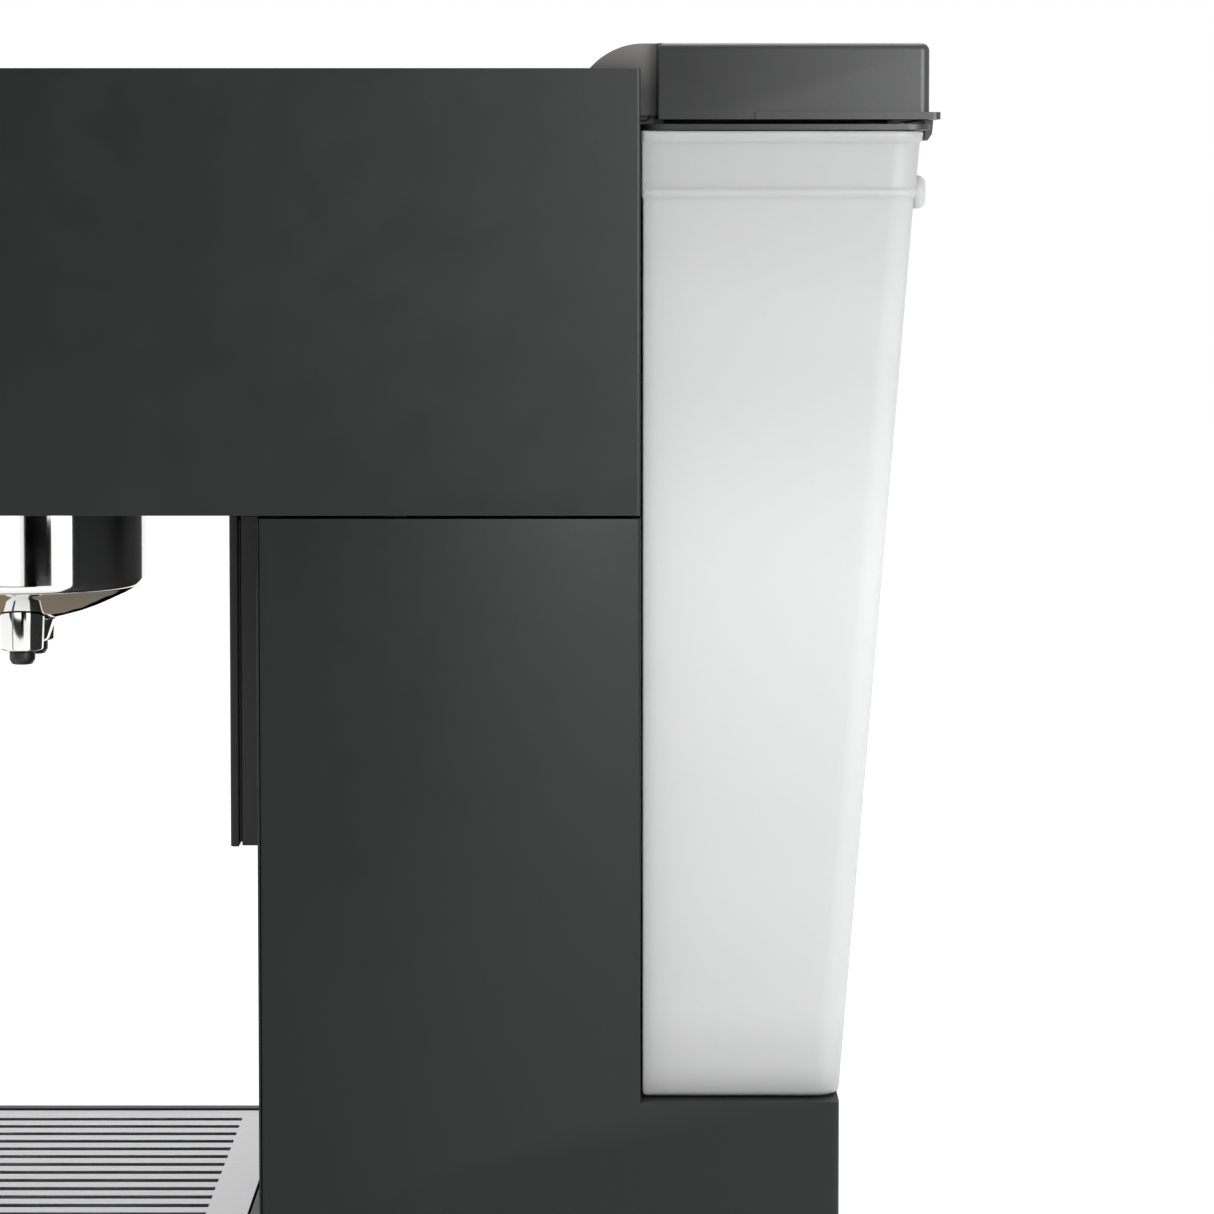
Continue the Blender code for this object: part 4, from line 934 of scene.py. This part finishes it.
# %% Build the lid
lid_low, lid_high = corners_of("tank_lid")
LID_HALF = 65.5
LID_FRONT, LID_REAR = hinge_y + 3.4, 190.9
LID_FOOT = 316.4
LID_WALL = 2.2
cap = block((-LID_HALF, LID_FRONT, LID_FOOT), (LID_HALF, LID_REAR, lid_high.z))
round_upright_corners(cap, 2.4, 8, lambda p: p.y > 180)
round_upright_corners(cap, 0.5, 4, lambda p: p.y < 130)
top_edges = []
for edge in cap.edges:
    on_top = all(abs(vert.co.z - lid_high.z) < 1e-3 for vert in edge.verts)
    if on_top and not all(vert.co.y < LID_FRONT + 0.1 for vert in edge.verts):
        top_edges.append(edge)
bmesh.ops.bevel(cap, geom=top_edges, offset=1.9, offset_type="OFFSET", segments=8, profile=0.5,
                affect="EDGES")


def nose_side(radius, rear, drop=0.0):
    """Side outline of the round nose, carried back into the cap."""
    outline = arc(hinge_y, hinge_z, radius, 180, 90, 32)
    outline += [(rear, hinge_z + radius), (rear, hinge_z - drop)]
    if drop:
        outline.append((hinge_y - radius, hinge_z - drop))
    return outline


NOSE_HALF = 62.0
nose = drawn_across(nose_side(NOSE_RADIUS, LID_FRONT + 1.0), -NOSE_HALF, NOSE_HALF)
lip = block((lid_low.x, 147.5, LID_FOOT), (lid_high.x, lid_high.y, LID_FOOT + 1.8))
round_upright_corners(lip, 2.0, 6, lambda p: p.y > 180)
finger_side = eased([(191.7, 311.4), (192.2, 311.2), (193.4, 312.9), (193.7, 316.0), (193.7, 317.4),
                     (191.6, 317.4)], 0.5)
finger = drawn_across([tuple(point) for point in finger_side], -40, 40)
cap = joined_to(cap, nose, lip, finger)
print("lid nose radius", NOSE_RADIUS, "mm and width", 2 * NOSE_HALF, "mm")

# %% [markdown]
# ## Inside of the lid
# The cap and its nose are hollow from below. Two ears inside hang on the hinge pin: each is a
# short hook drawn across, with a bore through both for the pin.

# %% Hollow the lid and hang it
room = block((-LID_HALF + LID_WALL, LID_FRONT + LID_WALL, 300),
             (LID_HALF - LID_WALL, LID_REAR - LID_WALL, lid_high.z - LID_WALL))
nose_room = drawn_across(nose_side(NOSE_RADIUS - LID_WALL, LID_FRONT + LID_WALL + 1, 6.0),
                         -NOSE_HALF + LID_WALL, NOSE_HALF - LID_WALL)
cap = cut_from(cap, room, nose_room)
ears = []
for side in (-1, 1):
    hanger = arc(hinge_y, hinge_z, 3.0, 180, 360, 16)
    hanger += [(hinge_y + 3, lid_high.z - 1), (hinge_y - 3, lid_high.z - 1)]
    low_x, high_x = sorted((side * 57.5, side * 60.2))
    ears.append(drawn_across(hanger, low_x, high_x))
cap = joined_to(cap, *ears)
cap = cut_from(cap, bar((-61, hinge_y, hinge_z), (61, hinge_y, hinge_z), 1.6, 32))
cap_charcoal_painted_light = moulded("cap_charcoal_painted_light", LID_DARK, LID_LIGHT, 0.42)
# The nose's upper part is painted paler: a painted highlight where light glances over the head.
paint_light_above(cap_charcoal_painted_light, LID_FRONT, hinge_z + 6.0, hinge_z + NOSE_RADIUS, NOSE_PAINTED_LIGHT)
add_piece("lid_cap", cap, cap_charcoal_painted_light, "tank_lid", ["tank_lid"], edge=0.25, smooth=40)
softened("lid_collar", "tank_collar", lid_charcoal, "water_tank", 0.3)
print("lid turns about y, z =", round(hinge_y, 1), round(hinge_z, 1))

# %% [markdown]
# ## Portafilter
# The filter holder is a pressed and chromed cup with a shallow domed floor, two ears that lock
# under the group's ring, and a neck for the handle. A lathe profile gives the cup and the dome.
# A rolled rim stands out where the straight wall meets the dome, and it draws the bright line
# that separates them.

# %% Build the portafilter
cup_high = corners_of("portafilter_body")[1]
spout_low, spout_high = corners_of("spout_block")
group_y = (spout_low.y + spout_high.y) / 2
CUP_RADIUS = 31.3
RIM_Z = 194.2
outer = [(28.2, cup_high.z), (CUP_RADIUS, cup_high.z), (CUP_RADIUS, RIM_Z + 1.4), (30.6, RIM_Z - 0.1)]
dome = [(29.4, RIM_Z - 0.5), (26.6, 192.1), (22.5, 190.2), (18.6, 188.5), (15.0, 187.2), (11.0, 186.1),
        (7.4, 185.2)]
floor_way = [(4.0, 184.8), (4.0, 193.0), (28.2, 200.0)]
cup_profile = eased(outer + dome + floor_way, 0.7)
cup = lathe(cup_profile, (0, group_y, 0), steps=160)
parts = []
for side in (-1, 1):
    low_x, high_x = sorted((side * 30.0, side * 38.4))
    ear = block((low_x, group_y - 10.5, 222.9), (high_x, group_y + 10.5, 226.9))
    parts.append(ear)
HANDLE_Z = 205.5
parts.append(bar((0, group_y - 30, HANDLE_Z), (0, group_y - 41, HANDLE_Z), 8.0, 64))
cup = joined_to(cup, *parts)
add_piece("filter_holder", cup, chrome, "portafilter", ["portafilter_body"], smooth=45)
print("filter holder radius", CUP_RADIUS, "mm")

# %% [markdown]
# ## Spouts
# Below the dome a small casting splits the coffee into two streams. Each chimney has a domed
# shoulder and ends in a short black tube with a chamfered mouth. The chimneys are turned, joined
# by a bridge, and bored from below.

# %% Build the spouts
SPOUT_X = 12.5
foot_z = spout_low.z
clear = [(0, 230), (34, 230), (34, RIM_Z - 0.2), (29.9, RIM_Z - 0.7), (22.5, 189.8), (15.0, 186.8),
         (7.4, 184.8), (0, 184.5)]
hub_side = eased([(0, 192.0), (8.2, 191.0), (8.2, 187.4), (5.4, 179.4), (4.6, 178.6), (0, 178.6)], 1.0, 5)
casting = lathe(hub_side, (0, group_y, 0), steps=96)
chimney_side = eased([(0, 192.0), (5.9, 191.5), (5.85, 186.0), (5.5, foot_z + 0.2), (4.6, foot_z),
                      (0, foot_z)], 1.3, 6)
bridge = block((-SPOUT_X, group_y - 3.6, 179.4), (SPOUT_X, group_y + 3.6, 185.6))
pillars = [lathe(chimney_side, (side * SPOUT_X, group_y, 0), steps=72) for side in (-1, 1)]
casting = joined_to(casting, bridge, *pillars)
bores = [bar((side * SPOUT_X, group_y, 170), (side * SPOUT_X, group_y, 182.6), 2.5, 32) for side in (-1, 1)]
casting = cut_from(casting, lathe(clear, (0, group_y, 0)), *bores)
add_piece("spout_casting", casting, chrome, "portafilter", ["spout_block"], edge=0.15, smooth=45)
for side, name in ((-1, "left"), (1, "right")):
    tip_low, tip_high = corners_of("spout_tip_" + name)
    tip = eased([(1.9, tip_high.z), (3.4, tip_high.z), (3.4, 175.2), (2.6, tip_low.z), (1.9, tip_low.z)],
                0.4)
    tube = lathe(tip, (side * SPOUT_X, group_y, 0), steps=48)
    add_piece("spout_mouth_" + name, tube, satin_black, "portafilter",
              ["spout_tip_" + name], smooth=45)
print("spouts", 2 * SPOUT_X, "mm apart")

# %% [markdown]
# ## Handle
# The handle is a soft-touch black grip that swells towards its end, with a chromed ring where it
# meets the neck. Both are turned about the neck's axis. A shallow waist behind the ring gives the
# thumb its place.

# %% Build the handle and its ring
ring_high = corners_of("handle_ring")[1]
grip_low, grip_high = corners_of("portafilter_handle")
ring_side = eased([(0, 0), (10.2, 0), (11.4, -1.2), (11.4, -4.8), (10.2, -6.0), (0, -6.0)], 0.8)
ring = lathe(ring_side, (0, ring_high.y, HANDLE_Z), (0, 1, 0), 96)
add_piece("chrome_ring", ring, chrome, "portafilter", ["handle_ring"], smooth=50)
reach = grip_high.y - grip_low.y
grip_side = [(0, 0), (9.4, 0), (10.0, -1.2), (9.7, -reach * 0.16), (10.6, -reach * 0.35),
             (12.0, -reach * 0.55), (13.5, -reach * 0.78), (14.2, -reach * 0.93), (13.2, -reach + 1.6),
             (10.0, -reach + 0.2), (0, -reach)]
grip = lathe(eased(grip_side, 6.0, 6), (0, grip_high.y, HANDLE_Z), (0, 1, 0), 96)
add_piece("handle_grip", grip, satin_black, "portafilter", ["portafilter_handle"],
          smooth=50)
print("grip length", round(reach, 1), "mm")

# %% [markdown]
# ## Buttons and their marks
# Three round buttons sit in the panel. A fine raised mark on each shows what it does: a broken
# ring for power, a cup for coffee, and rising curls for steam. The marks are thin rails laid on
# the cap, drawn as curves with a round section and then turned into meshes.


# %% Make rails
def rail(name, points, radius, finish, body):
    """A thin round rail along points in millimetres, as a mesh."""
    curve = bpy.data.curves.new(name, "CURVE")
    curve.dimensions = "3D"
    curve.bevel_depth = radius * MM
    curve.bevel_resolution = 3
    curve.use_fill_caps = True
    spline = curve.splines.new("POLY")
    spline.points.add(len(points) - 1)
    for point, spot in zip(spline.points, points):
        point.co = (*(Vector(spot) * MM), 1.0)
    holder = bpy.data.objects.new(name + "_line", curve)
    bpy.context.scene.collection.objects.link(holder)
    mesh = bpy.data.meshes.new_from_object(holder.evaluated_get(bpy.context.evaluated_depsgraph_get()))
    bpy.data.objects.remove(holder, do_unlink=True)
    bm = bmesh.new()
    bm.from_mesh(mesh)
    bpy.data.meshes.remove(mesh)
    bmesh.ops.remove_doubles(bm, verts=bm.verts, dist=1e-7)
    bmesh.ops.scale(bm, vec=(1 / MM, 1 / MM, 1 / MM), verts=bm.verts)
    return add_piece(name, bm, finish, body, smooth=60)


print("rail tool ready")

# %% [markdown]
# ## The three buttons
# Each button is one turned cap with a stem behind it. Its mark is a list of lines in the face, so
# a new mark is only a new list.


# %% Build the buttons
def ring_points(radius, start, end, count=28):
    """Points round a circle in the button's face, x to the right and z up."""
    steps = [math.radians(start + (end - start) * i / count) for i in range(count + 1)]
    return [(radius * math.cos(a), radius * math.sin(a)) for a in steps]


CURL_HEIGHTS = [i * 0.4 - 2.6 for i in range(14)]
MARKS = {
    "power": [ring_points(3.0, 125, 415), [(0, 1.2), (0, 4.2)]],
    "coffee": [[(-3.0, 1.6), (-2.6, -2.2), (1.4, -2.2), (1.8, 1.6), (-3.0, 1.6)],
               [(2.0, 1.0), (3.4, 0.8), (3.2, -0.8), (1.7, -1.0)]],
    "steam": [[(x + 0.6 * math.sin(z * 1.7), z) for z in CURL_HEIGHTS] for x in (-2.2, 0.0, 2.2)],
}
cap_side = eased([(0, 1.1), (6.6, 1.35), (8.2, 1.2), (8.5, 0.4), (8.5, -5.6), (8.2, -5.8), (0, -5.8)], 0.5)
for name, marks in MARKS.items():
    low, high = corners_of(name + "_button")
    middle = (low + high) / 2
    face_y = low.y + 1.4
    cap = lathe(cap_side, (middle.x, face_y, middle.z), (0, -1, 0), 80)
    stem = bar((middle.x, face_y + 5, middle.z), (middle.x, high.y, middle.z), 2.4, 24)
    add_piece(name + "_cap", joined_to(cap, stem), lid_charcoal, name + "_button",
              [name + "_button"], smooth=50)
    for i, mark in enumerate(marks):
        spots = [(middle.x + x, low.y + 0.25, middle.z + z) for x, z in mark]
        rail("%s_mark_%d" % (name, i + 1), spots, 0.22, nylon, name + "_button")
print("buttons:", ", ".join(MARKS))

# %% [markdown]
# ## Steam knob
# The knob that opens the steam valve is a turned cap with twelve flutes for the fingers and a
# pale pointer line on its face. The flutes are cut with round bars, set in a ring.

# %% Build the steam knob
knob_low, knob_high = corners_of("steam_knob")
knob_x, knob_z = (knob_low.x + knob_high.x) / 2, (knob_low.z + knob_high.z) / 2
knob_side = eased([(0, 15.2), (11.6, 15.5), (13.8, 14.4), (14.3, 8.0), (14.6, 0.4), (14.2, 0), (0, 0)],
                  1.4, 6)
knob = lathe(knob_side, (knob_x, knob_high.y, knob_z), (0, -1, 0), 120)
flutes = []
for i in range(12):
    angle = 2 * math.pi * (i + 0.5) / 12
    spot = Vector((knob_x + 15.5 * math.cos(angle), 0, knob_z + 15.5 * math.sin(angle)))
    ahead, behind = spot + Vector((0, knob_low.y - 2, 0)), spot + Vector((0, knob_high.y - 3, 0))
    flutes.append(bar(ahead, behind, 1.8, 24))
add_piece("steam_knob_cap", cut_from(knob, *flutes), lid_charcoal, "steam_knob",
          ["steam_knob"], edge=0.25, smooth=40)
pointer = [(knob_x, knob_low.y + 0.25, knob_z + 3), (knob_x, knob_low.y + 0.25, knob_z + 10.5)]
rail("knob_pointer", pointer, 0.3, nylon, "steam_knob")
print("knob radius", round((knob_high.x - knob_low.x) / 2, 1), "mm")

# %% [markdown]
# ## Steam wand
# The wand is a bent steel tube that hangs from a ball in a chromed nut, carries a frothing sleeve
# and ends in a turned tip. The tube is a smooth curve through a few points, sampled closely, so
# that its bends look drawn rather than cut. Nut, sleeve and tip are turned.


# %% Build the steam wand
def flowing(points, per_span=10):
    """A smooth line through given points."""
    knots = [Vector(p) for p in points]
    knots = [2 * knots[0] - knots[1]] + knots + [2 * knots[-1] - knots[-2]]
    line = []
    for i in range(1, len(knots) - 2):
        a, b, c, d = knots[i - 1: i + 3]
        for step in range(per_span):
            t = step / per_span
            line.append(0.5 * (2 * b + (c - a) * t + (2 * a - 5 * b + 4 * c - d) * t ** 2
                               + (3 * b - a - 3 * c + d) * t ** 3))
    return line + [knots[-2]]


nut_low, nut_high = corners_of("wand_nut")
wand_x, wand_y = (nut_low.x + nut_high.x) / 2, (nut_low.y + nut_high.y) / 2
tip_low, tip_high = corners_of("wand_tip")
end_x, end_y = (tip_low.x + tip_high.x) / 2, (tip_low.y + tip_high.y) / 2
wand_route = [(wand_x, wand_y, 222), (wand_x, wand_y, 214), (wand_x, wand_y - 1, 200),
              (wand_x + 3, wand_y - 8, 178), (end_x, end_y, 156), (end_x, end_y, 146), (end_x, end_y, 104)]
wand = rail("wand_tube", flowing(wand_route), 3.4, steel, "steam_wand")
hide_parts("steam_wand")
nut_side = eased([(4.4, nut_high.z), (8.0, nut_high.z), (8.0, 214.2), (6.6, nut_low.z), (5.6, nut_low.z),
                  (5.6, 216.0), (4.4, 219.0)], 0.5)
add_piece("wand_ball_nut", lathe(nut_side, (wand_x, wand_y, 0), steps=72), chrome, "chassis",
          ["wand_nut"], smooth=45)
sleeve_side = eased([(3.8, 142), (5.6, 142), (6.4, 139.6), (7.0, 115), (6.4, 112), (3.8, 112)], 1.0)
add_piece("wand_sleeve", lathe(sleeve_side, (end_x, end_y, 0), steps=72), satin_black, "steam_wand",
          ["frothing_sleeve"], smooth=45)
tip_side = eased([(0, tip_high.z), (4.0, tip_high.z), (4.4, 101.5), (4.0, 98.0), (2.6, 95.9),
                  (0, tip_low.z)], 1.0)
add_piece("wand_nozzle", lathe(tip_side, (end_x, end_y, 0), steps=72), steel, "steam_wand",
          ["wand_tip"], smooth=45)
print("wand reaches down to", round(tip_low.z, 1), "mm")

# %% [markdown]
# ## Feet and cord inlet
# Four rubber feet with a hollow underside grip the worktop, and a flanged gland at the rear of the
# base takes the mains lead. Both are turned.

# %% Build the feet and the gland
for name in ("foot_front_left", "foot_front_right", "foot_rear_left", "foot_rear_right"):
    low, high = corners_of(name)
    middle = (low + high) / 2
    foot_side = eased([(0, 8.7), (8.5, 8.7), (9.5, 1.0), (9.0, 0), (6.0, 0), (5.0, 1.2), (0, 1.2)], 0.6)
    add_piece(name + "_pad", lathe(foot_side, (middle.x, middle.y, 0), steps=72), rubber, "chassis",
              [name], smooth=45)
gland_low, gland_high = corners_of("cord_gland")
gland_x, gland_z = (gland_low.x + gland_high.x) / 2, (gland_low.z + gland_high.z) / 2
gland_side = eased([(3.6, 4.3), (7.5, 4.3), (9.0, 3.1), (9.0, 0.3), (6.2, 0.3), (6.2, -3.2),
                    (8.2, -3.6), (8.2, -5.2), (3.6, -5.2)], 0.5)
gland = lathe(gland_side, (gland_x, gland_high.y - 4.3, gland_z), (0, 1, 0), 72)
add_piece("gland_flange", gland, satin_black, "chassis", ["cord_gland"], smooth=45)
print("feet and gland ready")

# %% [markdown]
# ## Finish
# The finished scene's box is held against the imported model's, and the largest gap is printed.
# They should agree, because the looks never change the machine's size.

# %% Check sizes and finish
look_low, look_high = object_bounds()
gaps = [abs(v) / MM for v in (*(look_low - cad_low), *(look_high - cad_high))]
print("largest difference, mm:", round(max(gaps), 2))
